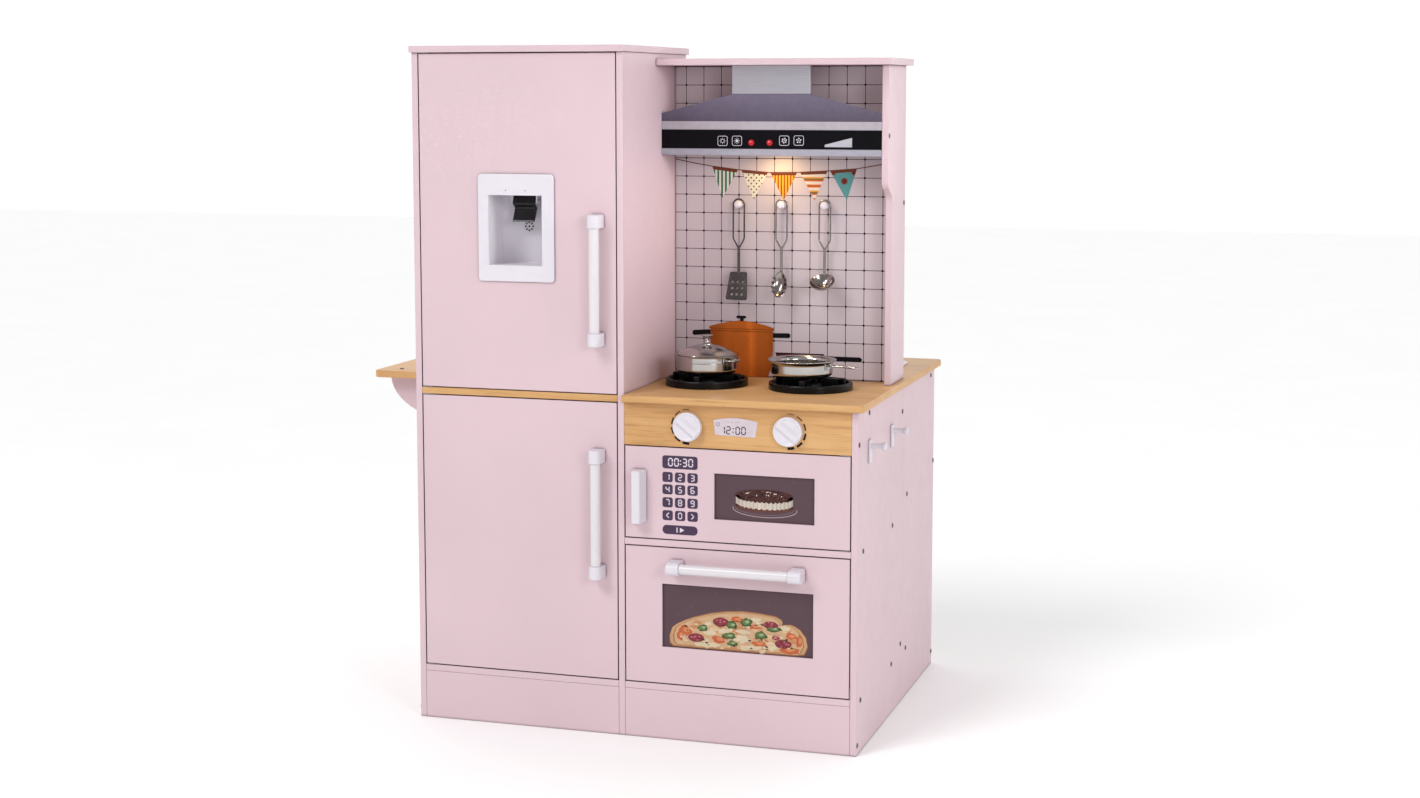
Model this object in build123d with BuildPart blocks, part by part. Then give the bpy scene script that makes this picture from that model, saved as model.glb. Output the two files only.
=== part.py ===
"""Two-sided toy kitchen: fridge tower, stove with hood, side table and rear sink counter.

Millimetres, +Z up. +X is to the right and the front faces -Y. The origin is on the floor,
at the centre of the bounding box. Boards are placed by s, the distance to the right of the
fridge's outer left face, and by d, the depth behind the flush front plane.
"""

import os
from math import cos, radians, sin

from build123d import *

os.makedirs("parts", exist_ok=True)

# ---------------------------------------------------------------- driving dimensions
BOARD = 10.0  # thickness of the painted boards
COUNTER = 11.0  # thickness of the counter boards
FRIDGE_WIDTH = 337.0
STOVE_WIDTH = 357.0
UNIT_DEPTH = 300.0  # front unit: fridge and stove
REAR_DEPTH = 245.0  # rear unit: sink counter and open shelves
FRIDGE_HEIGHT = 1033.0
HOOD_HEIGHT = 1014.6
COUNTER_TOP = 519.0
KICK_HEIGHT = 74.0
GAP = 1.5  # seam round a door
OVERHANG = 10.0  # counter beyond the boards, at the right
COUNTER_LIP = 12.0  # counter beyond the boards, at the front and the rear
TABLE_REACH = 140.0  # side table beyond the left face
HOOK_REACH = 26.0  # side hooks beyond the right face
HANDLE_REACH = 30.0  # oven handle beyond the front plane
RUNNING_FIT = 0.05  # radial clearance of pins that turn
REST_GAP = 0.4  # between loose ware and what it stands on

# ---------------------------------------------------------------- derived places
WIDTH = FRIDGE_WIDTH + STOVE_WIDTH
DEPTH = UNIT_DEPTH + REAR_DEPTH
LEFT = (TABLE_REACH - HOOK_REACH - WIDTH) / 2
FRONT = (HANDLE_REACH - COUNTER_LIP - DEPTH) / 2
FLOOR_TOP = KICK_HEIGHT + BOARD
COUNTER_BOTTOM = COUNTER_TOP - COUNTER
FRIDGE_INSIDE = (BOARD, FRIDGE_WIDTH - BOARD)
STOVE_INSIDE = (FRIDGE_WIDTH, WIDTH - BOARD)
BACK_PANEL = (UNIT_DEPTH - BOARD, UNIT_DEPTH)
MIDDLE_SHELF = (507.0, 517.0)
STOVE_SHELF = (293.5, 303.5)
FASCIA = (444.0, COUNTER_BOTTOM)
HOOD_TOP = (HOOD_HEIGHT - BOARD, HOOD_HEIGHT)
HOOD_BOARD = (178.0, 188.0)
SPLASH = (243.0, 253.0)
REAR_DIVIDER = (332.0, 342.0)
REAR_SHELF = (324.0, 334.0)
REAR_LIP_TOP = 364.0
FRONT_RAIL = (62.0, 72.0)
TOP_RAIL = (510.0, 520.0)
HIGH_RAIL = (285.0, 295.0)
REAR_BAYS = ((BOARD, REAR_DIVIDER[0]), (REAR_DIVIDER[1], WIDTH - BOARD))


def x_of(s):
    """Row X of a distance s to the right of the fridge's outer left face."""
    return LEFT + s


def y_of(d):
    """Row Y of a depth d behind the front plane."""
    return FRONT + d


BASE = (Align.CENTER, Align.CENTER, Align.MIN)  # a solid that stands on its plane


def at(s, d, z):
    """A point given as distance to the right, depth and height."""
    return (x_of(s), y_of(d), z)


# ---------------------------------------------------------------- assembly screws
SCREW_HEAD_RADIUS = 3.6
SCREW_HEAD_HEIGHT = 1.0
SCREW_RADIUS = 2.0
SCREW_HOLE_RADIUS = 2.2
SCREW_LENGTH = 28.0
FRONT_EDGE = BOARD / 2
BACK_EDGE = UNIT_DEPTH - BOARD / 2
REAR_EDGE = DEPTH - BOARD / 2

RIGHT_SCREWS = [
    (67.0, 498.0),
    (FRONT_EDGE, 459.5),
    (34.0, 298.5),
    (230.0, 298.5),
    (23.0, 79.0),
    (230.0, 79.0),
    (FRONT_EDGE, 15.5),
    (BACK_EDGE, 467.0),
    (BACK_EDGE, 95.0),
    (334.0, 79.0),
    (334.0, 329.0),
    (REAR_EDGE, 21.0),
    (REAR_EDGE, 349.0),
    (515.0, 496.5),
    (183.0, 899.0),
    (290.0, 794.0),
]
LEFT_SCREWS = [
    (FRONT_EDGE, 15.5),
    (23.0, 79.0),
    (230.0, 79.0),
    (34.0, 512.0),
    (BACK_EDGE, 95.0),
    (BACK_EDGE, 467.0),
    (BACK_EDGE, 900.0),
    (334.0, 79.0),
    (334.0, 329.0),
    (REAR_EDGE, 21.0),
    (REAR_EDGE, 349.0),
    (515.0, 496.5),
]
BRACKET_D = (170.0, 375.0)  # depths of the side table's two brackets
TABLE_SCREWS = [(s, d) for d in BRACKET_D for s in (-105.0, -40.0)]


def screw_plane(point, inward):
    """A plane on a screw's seat, whose normal points into the boards."""
    return Plane(origin=point, z_dir=inward)


SCREW_PLANES = (
    [screw_plane(at(WIDTH, d, z), (-1, 0, 0)) for d, z in RIGHT_SCREWS]
    + [screw_plane(at(0, d, z), (1, 0, 0)) for d, z in LEFT_SCREWS]
    + [screw_plane(at(s, d, COUNTER_TOP), (0, 0, -1)) for s, d in TABLE_SCREWS]
)


def crosses(plane, low, high):
    """True if a screw on that plane reaches into the box from low to high."""
    seat = plane.origin
    tip = seat + plane.z_dir * SCREW_LENGTH
    for a, b, lo, hi in zip(seat, tip, low, high):
        if max(a, b) < lo + 0.01 or min(a, b) > hi - 0.01:
            return False
    return True


def box_between(s, d, z, mode=Mode.ADD):
    """Adds or cuts a box between two corners in the part being built."""
    low, high = at(s[0], d[0], z[0]), at(s[1], d[1], z[1])
    with Locations(tuple((a + b) / 2 for a, b in zip(low, high))):
        Box(s[1] - s[0], d[1] - d[0], z[1] - z[0], mode=mode)


def board(label, s, d, z):
    """A board between two corners, with clearance holes where the screws go in."""
    low, high = at(s[0], d[0], z[0]), at(s[1], d[1], z[1])
    with BuildPart() as piece:
        box_between(s, d, z)
        for plane in SCREW_PLANES:
            if crosses(plane, low, high):
                with Locations(plane):
                    Cylinder(
                        SCREW_HOLE_RADIUS,
                        SCREW_LENGTH + 1,
                        align=BASE,
                        mode=Mode.SUBTRACT,
                    )
    piece.part.label = label
    return piece


def save(piece):
    """Writes one finished piece under its own label."""
    export_step(piece.part, f"parts/{piece.part.label}.step")


# ---------------------------------------------------------------- plain boards
BOARDS = {
    "fridge_side_left": ((0, BOARD), (0, UNIT_DEPTH), (0, FRIDGE_HEIGHT - BOARD)),
    "fridge_side_right": (
        (FRIDGE_WIDTH - BOARD, FRIDGE_WIDTH),
        (0, UNIT_DEPTH),
        (0, FRIDGE_HEIGHT - BOARD),
    ),
    "stove_side_right": ((WIDTH - BOARD, WIDTH), (0, UNIT_DEPTH), (0, COUNTER_BOTTOM)),
    "fridge_top": (
        (-3, FRIDGE_WIDTH + 3),
        (-4, UNIT_DEPTH + 7),
        (FRIDGE_HEIGHT - BOARD, FRIDGE_HEIGHT),
    ),
    "fridge_middle_shelf": (FRIDGE_INSIDE, (0, BACK_PANEL[0]), MIDDLE_SHELF),
    "fridge_floor": (FRIDGE_INSIDE, (0, BACK_PANEL[0]), (KICK_HEIGHT, FLOOR_TOP)),
    "stove_floor": (STOVE_INSIDE, (0, BACK_PANEL[0]), (KICK_HEIGHT, FLOOR_TOP)),
    "stove_shelf": (STOVE_INSIDE, (0, BACK_PANEL[0]), STOVE_SHELF),
    "fridge_back_panel": (
        FRIDGE_INSIDE,
        BACK_PANEL,
        (KICK_HEIGHT, FRIDGE_HEIGHT - BOARD),
    ),
    "stove_back_panel": (STOVE_INSIDE, BACK_PANEL, (KICK_HEIGHT, COUNTER_BOTTOM)),
    "backsplash": (STOVE_INSIDE, SPLASH, (COUNTER_TOP, HOOD_TOP[0])),
    "hood_top": ((FRIDGE_WIDTH, WIDTH + OVERHANG), (150, UNIT_DEPTH + 7), HOOD_TOP),
    "rear_divider": (REAR_DIVIDER, (UNIT_DEPTH, DEPTH), (FLOOR_TOP, COUNTER_BOTTOM)),
    "rear_floor": (
        (BOARD, WIDTH - BOARD),
        (UNIT_DEPTH, DEPTH),
        (KICK_HEIGHT, FLOOR_TOP),
    ),
}
for name, corners in BOARDS.items():
    save(board(name, *corners))

# ---------------------------------------------------------------- groups of like boards
BOARD_GROUPS = {
    "kick_boards": [
        (FRIDGE_INSIDE, (0, BOARD), (0, KICK_HEIGHT)),
        (STOVE_INSIDE, (0, BOARD), (0, KICK_HEIGHT)),
        ((BOARD, WIDTH - BOARD), (DEPTH - BOARD, DEPTH), (0, KICK_HEIGHT)),
    ],
    "rear_side_panels": [
        ((0, BOARD), (UNIT_DEPTH, DEPTH), (0, COUNTER_BOTTOM)),
        ((WIDTH - BOARD, WIDTH), (UNIT_DEPTH, DEPTH), (0, COUNTER_BOTTOM)),
    ],
    "inner_shelves": [
        (FRIDGE_INSIDE, (40, BACK_PANEL[0]), (860, 870)),
        (FRIDGE_INSIDE, (40, BACK_PANEL[0]), (290, 300)),
    ],
    "rear_shelves": [(bay, (UNIT_DEPTH, DEPTH - BOARD), REAR_SHELF) for bay in REAR_BAYS],
    "rails": [(STOVE_INSIDE, FRONT_RAIL, (488, COUNTER_BOTTOM))]
    + [(bay, TOP_RAIL, (486, COUNTER_BOTTOM)) for bay in REAR_BAYS]
    + [(bay, (DEPTH - BOARD, DEPTH), (REAR_SHELF[0], REAR_LIP_TOP)) for bay in REAR_BAYS]
    + [(STOVE_INSIDE, HIGH_RAIL, (779, 809))],
}
for name, members in BOARD_GROUPS.items():
    solids = [board(name, *corners).part for corners in members]
    with BuildPart() as group:
        add(solids)
    group.part.label = name
    save(group)

# ---------------------------------------------------------------- stove fascia
KNOB_S = (437.0, 590.0)
KNOB_Z = 475.5
KNOB_STEM_RADIUS = 4.0

fascia_board = board("control_panel", STOVE_INSIDE, (0, BOARD), FASCIA).part
with BuildPart() as control_panel:
    add(fascia_board)
    for s in KNOB_S:
        with Locations(Plane(origin=at(s, 0, KNOB_Z), z_dir=(0, 1, 0))):
            Cylinder(
                KNOB_STEM_RADIUS + RUNNING_FIT,
                BOARD,
                align=BASE,
                mode=Mode.SUBTRACT,
            )
control_panel.part.label = "control_panel"
save(control_panel)

# ---------------------------------------------------------------- hood post
POST_STEP_HIGH = 833.0  # where the front edge starts to curve back
POST_STEP_LOW = 798.0
POST_NARROW = 207.0  # depth of the front edge below the curve
post_middle = (POST_STEP_HIGH + POST_STEP_LOW) / 2
post_bend = (HOOD_BOARD[0] + POST_NARROW) / 2

with BuildPart() as hood_post:
    with BuildSketch(Plane(origin=at(WIDTH - BOARD, 0, 0), x_dir=(0, 1, 0), z_dir=(1, 0, 0))):
        with BuildLine():
            Polyline(
                (POST_NARROW, POST_STEP_LOW),
                (POST_NARROW, COUNTER_TOP),
                (UNIT_DEPTH, COUNTER_TOP),
                (UNIT_DEPTH, HOOD_TOP[0]),
                (HOOD_BOARD[0], HOOD_TOP[0]),
                (HOOD_BOARD[0], POST_STEP_HIGH),
            )
            Spline(
                (HOOD_BOARD[0], POST_STEP_HIGH),
                (post_bend, post_middle),
                (POST_NARROW, POST_STEP_LOW),
                tangents=[(0, -1), (0, -1)],
            )
        make_face()
    extrude(amount=BOARD)
    for d, z in RIGHT_SCREWS[-2:]:
        with Locations(Plane(origin=at(WIDTH, d, z), z_dir=(-1, 0, 0))):
            Cylinder(
                SCREW_HOLE_RADIUS,
                BOARD,
                align=BASE,
                mode=Mode.SUBTRACT,
            )
hood_post.part.label = "hood_post"
save(hood_post)

# ---------------------------------------------------------------- hood front board
HOOD_BASE = 868.0
HOOD_WALL_TOP = 920.0
HOOD_SHOULDER = 932.0
CHIMNEY_FOOT = 961.0
CHIMNEY_S = (450.0, 573.0)

with BuildPart() as hood_front:
    with BuildSketch(Plane(origin=at(0, HOOD_BOARD[0], 0), x_dir=(1, 0, 0), z_dir=(0, -1, 0))):
        with BuildLine():
            Polyline(
                (STOVE_INSIDE[0], HOOD_BASE),
                (STOVE_INSIDE[1], HOOD_BASE),
                (STOVE_INSIDE[1], HOOD_SHOULDER),
                (CHIMNEY_S[1], CHIMNEY_FOOT),
                (CHIMNEY_S[1], HOOD_TOP[0]),
                (CHIMNEY_S[0], HOOD_TOP[0]),
                (CHIMNEY_S[0], CHIMNEY_FOOT),
                (STOVE_INSIDE[0], HOOD_SHOULDER),
                close=True,
            )
        make_face()
    extrude(amount=-BOARD)
    with Locations(Plane(origin=at(WIDTH, 183, 899), z_dir=(-1, 0, 0))):
        Cylinder(
            SCREW_HOLE_RADIUS,
            SCREW_LENGTH + 1,
            align=BASE,
            mode=Mode.SUBTRACT,
        )
hood_front.part.label = "hood_front"
save(hood_front)

# ---------------------------------------------------------------- counters
COUNTER_CORNER = 9.0
COUNTER_EDGE = 2.5
SINK_S = (432.0, 654.0)  # cut-out in the counter
SINK_D = (349.0, 491.0)



def rounded_edges(piece, inner_y):
    """A counter's top and bottom edges, except the left ones and those at inner_y."""
    levels = piece.faces().sort_by(Axis.Z)
    edges = ShapeList([*levels[0].edges(), *levels[-1].edges()])
    left = edges.sort_by(Axis.X)[0].center().X
    return [
        edge
        for edge in edges
        if abs(edge.center().Y - inner_y) > 1 and edge.center().X > left + 1
    ]


with BuildPart() as counter_front:
    with BuildSketch(Plane.XY.offset(COUNTER_BOTTOM)):
        with Locations((x_of(FRIDGE_WIDTH), y_of(-COUNTER_LIP))):
            Rectangle(
                STOVE_WIDTH + OVERHANG,
                UNIT_DEPTH + COUNTER_LIP,
                align=(Align.MIN, Align.MIN),
            )
    extrude(amount=COUNTER)
    front_right = counter_front.edges().filter_by(Axis.Z).sort_by(Axis.X)[-2:]
    fillet(front_right.sort_by(Axis.Y)[0], COUNTER_CORNER)
    fillet(rounded_edges(counter_front, y_of(UNIT_DEPTH)), COUNTER_EDGE)
counter_front.part.label = "counter_front"
save(counter_front)

with BuildPart() as counter_rear:
    with BuildSketch(Plane.XY.offset(COUNTER_BOTTOM)):
        with Locations((x_of(0), y_of(UNIT_DEPTH))):
            Rectangle(WIDTH + OVERHANG, REAR_DEPTH + COUNTER_LIP, align=(Align.MIN, Align.MIN))
    extrude(amount=COUNTER)
    rear_right = counter_rear.edges().filter_by(Axis.Z).sort_by(Axis.X)[-2:]
    fillet(rear_right.sort_by(Axis.Y)[-1], COUNTER_CORNER)
    fillet(rounded_edges(counter_rear, y_of(UNIT_DEPTH)), COUNTER_EDGE)
    with BuildSketch(Plane.XY.offset(COUNTER_BOTTOM)):
        with Locations((x_of(sum(SINK_S) / 2), y_of(sum(SINK_D) / 2))):
            RectangleRounded(SINK_S[1] - SINK_S[0], SINK_D[1] - SINK_D[0], 21)
    extrude(amount=COUNTER, mode=Mode.SUBTRACT)
counter_rear.part.label = "counter_rear"
save(counter_rear)

# ---------------------------------------------------------------- side table
TABLE_D = (140.0, 405.0)
BRACKET_REACH = 122.0
BRACKET_DROP = 71.0

table_box = ((-TABLE_REACH, 0), TABLE_D, (COUNTER_BOTTOM, COUNTER_TOP))
table_board = board("side_table", *table_box).part
with BuildPart() as side_table:
    add(table_board)
    fillet(side_table.edges().filter_by(Axis.Z).sort_by(Axis.X)[0:2], COUNTER_CORNER)
side_table.part.label = "side_table"
save(side_table)

with BuildPart() as side_table_brackets:
    for middle in BRACKET_D:
        start = at(0, middle, COUNTER_BOTTOM)
        with BuildSketch(Plane(origin=start, x_dir=(1, 0, 0), z_dir=(0, -1, 0))):
            with BuildLine():
                Polyline((-BRACKET_REACH, 0), (0, 0), (0, -BRACKET_DROP))
                EllipticalCenterArc(
                    (0, 0), BRACKET_REACH, BRACKET_DROP, start_angle=180, arc_size=90
                )
            make_face()
        extrude(amount=BOARD / 2, both=True)
    for plane in SCREW_PLANES[-len(TABLE_SCREWS) :]:
        with Locations(plane):
            Cylinder(
                SCREW_HOLE_RADIUS,
                SCREW_LENGTH + 1,
                align=BASE,
                mode=Mode.SUBTRACT,
            )
side_table_brackets.part.label = "side_table_brackets"
save(side_table_brackets)

# ---------------------------------------------------------------- screws
with BuildPart() as cabinet_screws:
    for plane in SCREW_PLANES:
        with Locations(plane):
            Cylinder(SCREW_RADIUS, SCREW_LENGTH, align=BASE)
            Cylinder(
                SCREW_HEAD_RADIUS,
                SCREW_HEAD_HEIGHT,
                align=(Align.CENTER, Align.CENTER, Align.MAX),
            )
cabinet_screws.part.label = "cabinet_screws"
save(cabinet_screws)

# ---------------------------------------------------------------- doors
PIVOT_INSET = 8.0  # from the hinge edge of a door to its pins
PIVOT_DEPTH = 4.0  # behind the front plane
PIN_RADIUS = 2.0
PIN_LENGTH = 8.0
PLATE = (16.0, 9.0, 0.9)  # hinge plate, lying in the seam

FRIDGE_DOOR_S = (FRIDGE_INSIDE[0] + GAP, FRIDGE_INSIDE[1] - GAP)
STOVE_DOOR_S = (STOVE_INSIDE[0] + GAP, STOVE_INSIDE[1] - GAP)
FRIDGE_DOOR_Z = (MIDDLE_SHELF[1] + GAP, FRIDGE_HEIGHT - BOARD - GAP)
FREEZER_DOOR_Z = (FLOOR_TOP + GAP, MIDDLE_SHELF[0] - GAP)
MICROWAVE_DOOR_Z = (STOVE_SHELF[1] + GAP, FASCIA[0] - GAP)
OVEN_DOOR_Z = (FLOOR_TOP + GAP, STOVE_SHELF[0] - GAP)
DISPENSER_HOLE = ((121.0, 212.5), (703.5, 814.0))
MICROWAVE_WINDOW = ((477.0, 629.0), (339.0, 407.5))
OVEN_WINDOW = ((396.0, 628.0), (141.0, 237.0))
PANE_REBATE = 4.0
PANE_D = (4.0, 7.0)

left_pivot = FRIDGE_DOOR_S[0] + PIVOT_INSET
right_pivot = STOVE_DOOR_S[1] - PIVOT_INSET
oven_pivot = OVEN_DOOR_Z[0] + PIVOT_INSET
# Each pin: where it stands on its board, and the direction in which it enters the door.
PINS = {
    "fridge": [
        (at(left_pivot, PIVOT_DEPTH, FRIDGE_HEIGHT - BOARD), (0, 0, -1)),
        (at(left_pivot, PIVOT_DEPTH, MIDDLE_SHELF[1]), (0, 0, 1)),
    ],
    "freezer": [
        (at(left_pivot, PIVOT_DEPTH, MIDDLE_SHELF[0]), (0, 0, -1)),
        (at(left_pivot, PIVOT_DEPTH, FLOOR_TOP), (0, 0, 1)),
    ],
    "microwave": [
        (at(right_pivot, PIVOT_DEPTH, FASCIA[0]), (0, 0, -1)),
        (at(right_pivot, PIVOT_DEPTH, STOVE_SHELF[1]), (0, 0, 1)),
    ],
    "oven": [
        (at(STOVE_INSIDE[0], PIVOT_DEPTH, oven_pivot), (1, 0, 0)),
        (at(STOVE_INSIDE[1], PIVOT_DEPTH, oven_pivot), (-1, 0, 0)),
    ],
}


def door(label, s, z, pins, hole=None, rebate=0.0):
    """A door board with its pin sockets, and a hole whose rear part is stepped out."""
    with BuildPart() as piece:
        box_between(s, (0, BOARD), z)
        if hole:
            box_between(hole[0], (0, BOARD), hole[1], Mode.SUBTRACT)
            if rebate:
                wide, tall = [(low - rebate, high + rebate) for low, high in hole]
                box_between(wide, (PANE_D[0], BOARD), tall, Mode.SUBTRACT)
        for point, inward in pins:
            with Locations(Plane(origin=point, z_dir=inward)):
                Cylinder(
                    PIN_RADIUS + RUNNING_FIT,
                    GAP + PIN_LENGTH + 1,
                    align=BASE,
                    mode=Mode.SUBTRACT,
                )
    piece.part.label = label
    return piece


def pane(label, hole):
    """A window pane seated in the rebate behind its hole."""
    (s_low, s_high), (z_low, z_high) = hole
    with BuildPart() as piece:
        box_between(
            (s_low - PANE_REBATE, s_high + PANE_REBATE),
            PANE_D,
            (z_low - PANE_REBATE, z_high + PANE_REBATE),
        )
    piece.part.label = label
    return piece


save(door("fridge_door", FRIDGE_DOOR_S, FRIDGE_DOOR_Z, PINS["fridge"], DISPENSER_HOLE))
save(door("freezer_door", FRIDGE_DOOR_S, FREEZER_DOOR_Z, PINS["freezer"]))
save(
    door(
        "microwave_door",
        STOVE_DOOR_S,
        MICROWAVE_DOOR_Z,
        PINS["microwave"],
        MICROWAVE_WINDOW,
        PANE_REBATE,
    )
)
save(door("oven_door", STOVE_DOOR_S, OVEN_DOOR_Z, PINS["oven"], OVEN_WINDOW, PANE_REBATE))
save(pane("microwave_window", MICROWAVE_WINDOW))
save(pane("oven_window", OVEN_WINDOW))

with BuildPart() as hinge_plates:
    for pins in PINS.values():
        for point, inward in pins:
            across = (0, 0, 1) if inward[0] else (1, 0, 0)
            with Locations(Plane(origin=point, x_dir=across, z_dir=inward)):
                Box(*PLATE, align=BASE)
                Cylinder(PIN_RADIUS, GAP + PIN_LENGTH, align=BASE)
hinge_plates.part.label = "hinge_plates"
save(hinge_plates)

# ---------------------------------------------------------------- magnetic catches
CATCH = (30.0, 14.0, 11.0)  # along the board, in depth, and thickness
CATCH_D = BOARD + 0.6  # front face, just clear of the closed door
CATCHES = [
    (at(295, CATCH_D, FRIDGE_HEIGHT - BOARD), (0, 0, -1)),
    (at(295, CATCH_D, MIDDLE_SHELF[0]), (0, 0, -1)),
    (at(sum(STOVE_INSIDE) / 2, CATCH_D, STOVE_SHELF[0]), (0, 0, -1)),
    (at(STOVE_INSIDE[0], CATCH_D, 374), (1, 0, 0)),
]

with BuildPart() as magnet_catches:
    for point, inward in CATCHES:
        along = (0, 0, 1) if inward[0] else (1, 0, 0)
        catch_plane = Plane(origin=point, x_dir=along, z_dir=inward)
        depth_sign = 1 if catch_plane.y_dir.Y > 0 else -1
        with Locations(catch_plane):
            with Locations((0, depth_sign * CATCH[1] / 2, CATCH[2] / 2)):
                Box(*CATCH)
magnet_catches.part.label = "magnet_catches"
save(magnet_catches)

# ---------------------------------------------------------------- bar handles
BAR_RADIUS = 7.6
FOOT_LENGTH = 20.0  # along the bar
FOOT_WIDTH = 20.0
FRIDGE_REACH = 26.5


def bar_handle(prefix, middle, length, reach, vertical):
    """A round bar between two end blocks, as two nodes: the bar and the pair of ends."""
    along = (0, 0, 1) if vertical else (1, 0, 0)
    centre = reach - FOOT_WIDTH / 2
    with BuildPart() as bar:
        with Locations(Plane(origin=at(middle[0], -centre, middle[1]), z_dir=along)):
            Cylinder(BAR_RADIUS, length - 2 * FOOT_LENGTH)
    bar.part.label = f"{prefix}_handle_bar"
    with BuildPart() as ends:
        for side in (-1, 1):
            shift = side * (length - FOOT_LENGTH) / 2 - FOOT_LENGTH / 2
            start = at(
                middle[0] + along[0] * shift, -centre, middle[1] + along[2] * shift
            )
            with BuildSketch(Plane(origin=start, x_dir=(0, -1, 0), z_dir=along)):
                Circle(FOOT_WIDTH / 2)
                Rectangle(centre, FOOT_WIDTH, align=(Align.MAX, Align.CENTER))
            extrude(amount=FOOT_LENGTH)
        rims = [
            edge
            for edge in ends.edges()
            if edge.center().Y < FRONT - 0.5
            and abs(edge.tangent_at(0.5).dot(Vector(*along))) < 0.1
        ]
        fillet(rims, 1.5)
    ends.part.label = f"{prefix}_handle_ends"
    return bar, ends


HANDLES = [
    ("fridge", (297.0, 687.5), 195.0, FRIDGE_REACH, True),
    ("freezer", (297.0, 338.0), 195.0, FRIDGE_REACH, True),
    ("oven", (513.0, 265.0), 206.0, HANDLE_REACH, False),
]
for handle in HANDLES:
    for piece in bar_handle(*handle):
        save(piece)

MICROWAVE_HANDLE_S = (350.0, 372.0)
MICROWAVE_HANDLE_Z = (329.0, 408.0)
MICROWAVE_GRIP = 13.0  # width of the front of the block
MICROWAVE_REACH = 20.0

with BuildPart() as microwave_handle:
    middle_s = sum(MICROWAVE_HANDLE_S) / 2
    half = (MICROWAVE_HANDLE_S[1] - MICROWAVE_HANDLE_S[0]) / 2
    with BuildSketch(Plane.XY.offset(MICROWAVE_HANDLE_Z[0])):
        with BuildLine():
            Polyline(
                (x_of(middle_s - half), y_of(0)),
                (x_of(middle_s + half), y_of(0)),
                (x_of(middle_s + MICROWAVE_GRIP / 2), y_of(-MICROWAVE_REACH)),
                (x_of(middle_s - MICROWAVE_GRIP / 2), y_of(-MICROWAVE_REACH)),
                close=True,
            )
        make_face()
    extrude(amount=MICROWAVE_HANDLE_Z[1] - MICROWAVE_HANDLE_Z[0])
    fillet(microwave_handle.edges().filter_by(Axis.Z).sort_by(Axis.Y)[0:2], 3)
microwave_handle.part.label = "microwave_handle"
save(microwave_handle)

# ---------------------------------------------------------------- dispenser
DISPENSER_FRAME = ((107.0, 229.0), (682.0, 843.0))
DISPENSER_MOUTH = ((124.0, 209.5), (706.5, 811.0))
FRAME_HEIGHT = 3.0
RECESS = 54.0
WALL = 2.0
LEVER_PIVOT = (166.75, 40.0, 803.0)
LEVER_WIDTH = 36.0
LEVER_PIN_RADIUS = 1.5
GRILLE_Z = 761.75
GRILLE_RING = 6.0
GRILLE_HOLE = 1.1
mouth_s, mouth_z = DISPENSER_MOUTH

with BuildPart() as dispenser_housing:
    box_between(DISPENSER_FRAME[0], (-FRAME_HEIGHT, 0), DISPENSER_FRAME[1])
    fillet(dispenser_housing.edges().filter_by(Axis.Y), 6)
    fillet(dispenser_housing.faces().sort_by(Axis.Y)[0].edges(), 1.2)
    outer_s, outer_z = [(low - WALL, high + WALL) for low, high in DISPENSER_MOUTH]
    box_between(outer_s, (0, RECESS + WALL), outer_z)
    box_between(mouth_s, (-FRAME_HEIGHT, RECESS), mouth_z, Mode.SUBTRACT)
    for side in (-1, 1):
        ear = LEVER_PIVOT[0] + side * (LEVER_WIDTH / 2 + 2)
        box_between((ear - 1.2, ear + 1.2), (34, 46), (797, mouth_z[1]))
    with Locations(Plane(origin=at(*LEVER_PIVOT), z_dir=(1, 0, 0))):
        Cylinder(LEVER_PIN_RADIUS, LEVER_WIDTH + 12, mode=Mode.SUBTRACT)
    grille = Plane(origin=at(LEVER_PIVOT[0], RECESS, GRILLE_Z), z_dir=(0, 1, 0))
    with Locations(grille):
        Cylinder(GRILLE_HOLE, 4 * WALL, mode=Mode.SUBTRACT)
        with PolarLocations(GRILLE_RING, 8):
            Cylinder(GRILLE_HOLE, 4 * WALL, mode=Mode.SUBTRACT)
dispenser_housing.part.label = "dispenser_housing"
save(dispenser_housing)

with BuildPart() as dispenser_pin:
    with Locations(Plane(origin=at(*LEVER_PIVOT), z_dir=(1, 0, 0))):
        Cylinder(LEVER_PIN_RADIUS, LEVER_WIDTH + 8)
dispenser_pin.part.label = "dispenser_pin"
save(dispenser_pin)

with BuildPart() as dispenser_lever:
    lever_start = at(LEVER_PIVOT[0] - LEVER_WIDTH / 2, 0, 0)
    with BuildSketch(Plane(origin=lever_start, x_dir=(0, 1, 0), z_dir=(1, 0, 0))):
        with BuildLine():
            Polyline((35.5, 809), (44.5, 809), (44.5, 797), (38, 795), (38, 774), (29, 769.5))
            Line((29, 769.5), (27.5, 772))
            ThreePointArc((27.5, 772), (31.5, 785), (30, 795))
            ThreePointArc((30, 795), (28.5, 803), (35.5, 809))
        make_face()
    extrude(amount=LEVER_WIDTH)
    with Locations(Plane(origin=at(*LEVER_PIVOT), z_dir=(1, 0, 0))):
        Cylinder(LEVER_PIN_RADIUS + RUNNING_FIT, LEVER_WIDTH + 2, mode=Mode.SUBTRACT)
dispenser_lever.part.label = "dispenser_lever"
save(dispenser_lever)

# ---------------------------------------------------------------- stove knobs
KNOB_RADIUS = 21.75
KNOB_RIM = 9.0
KNOB_FACE = 6.0
KNOB_CREST = 14.0
KNOB_CREST_WIDTH = 13.0
KNOB_TURN = -38.0  # direction of the crest
KNOB_CLEAR = 0.4
KNOB_BARB_RADIUS = 5.2

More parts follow.
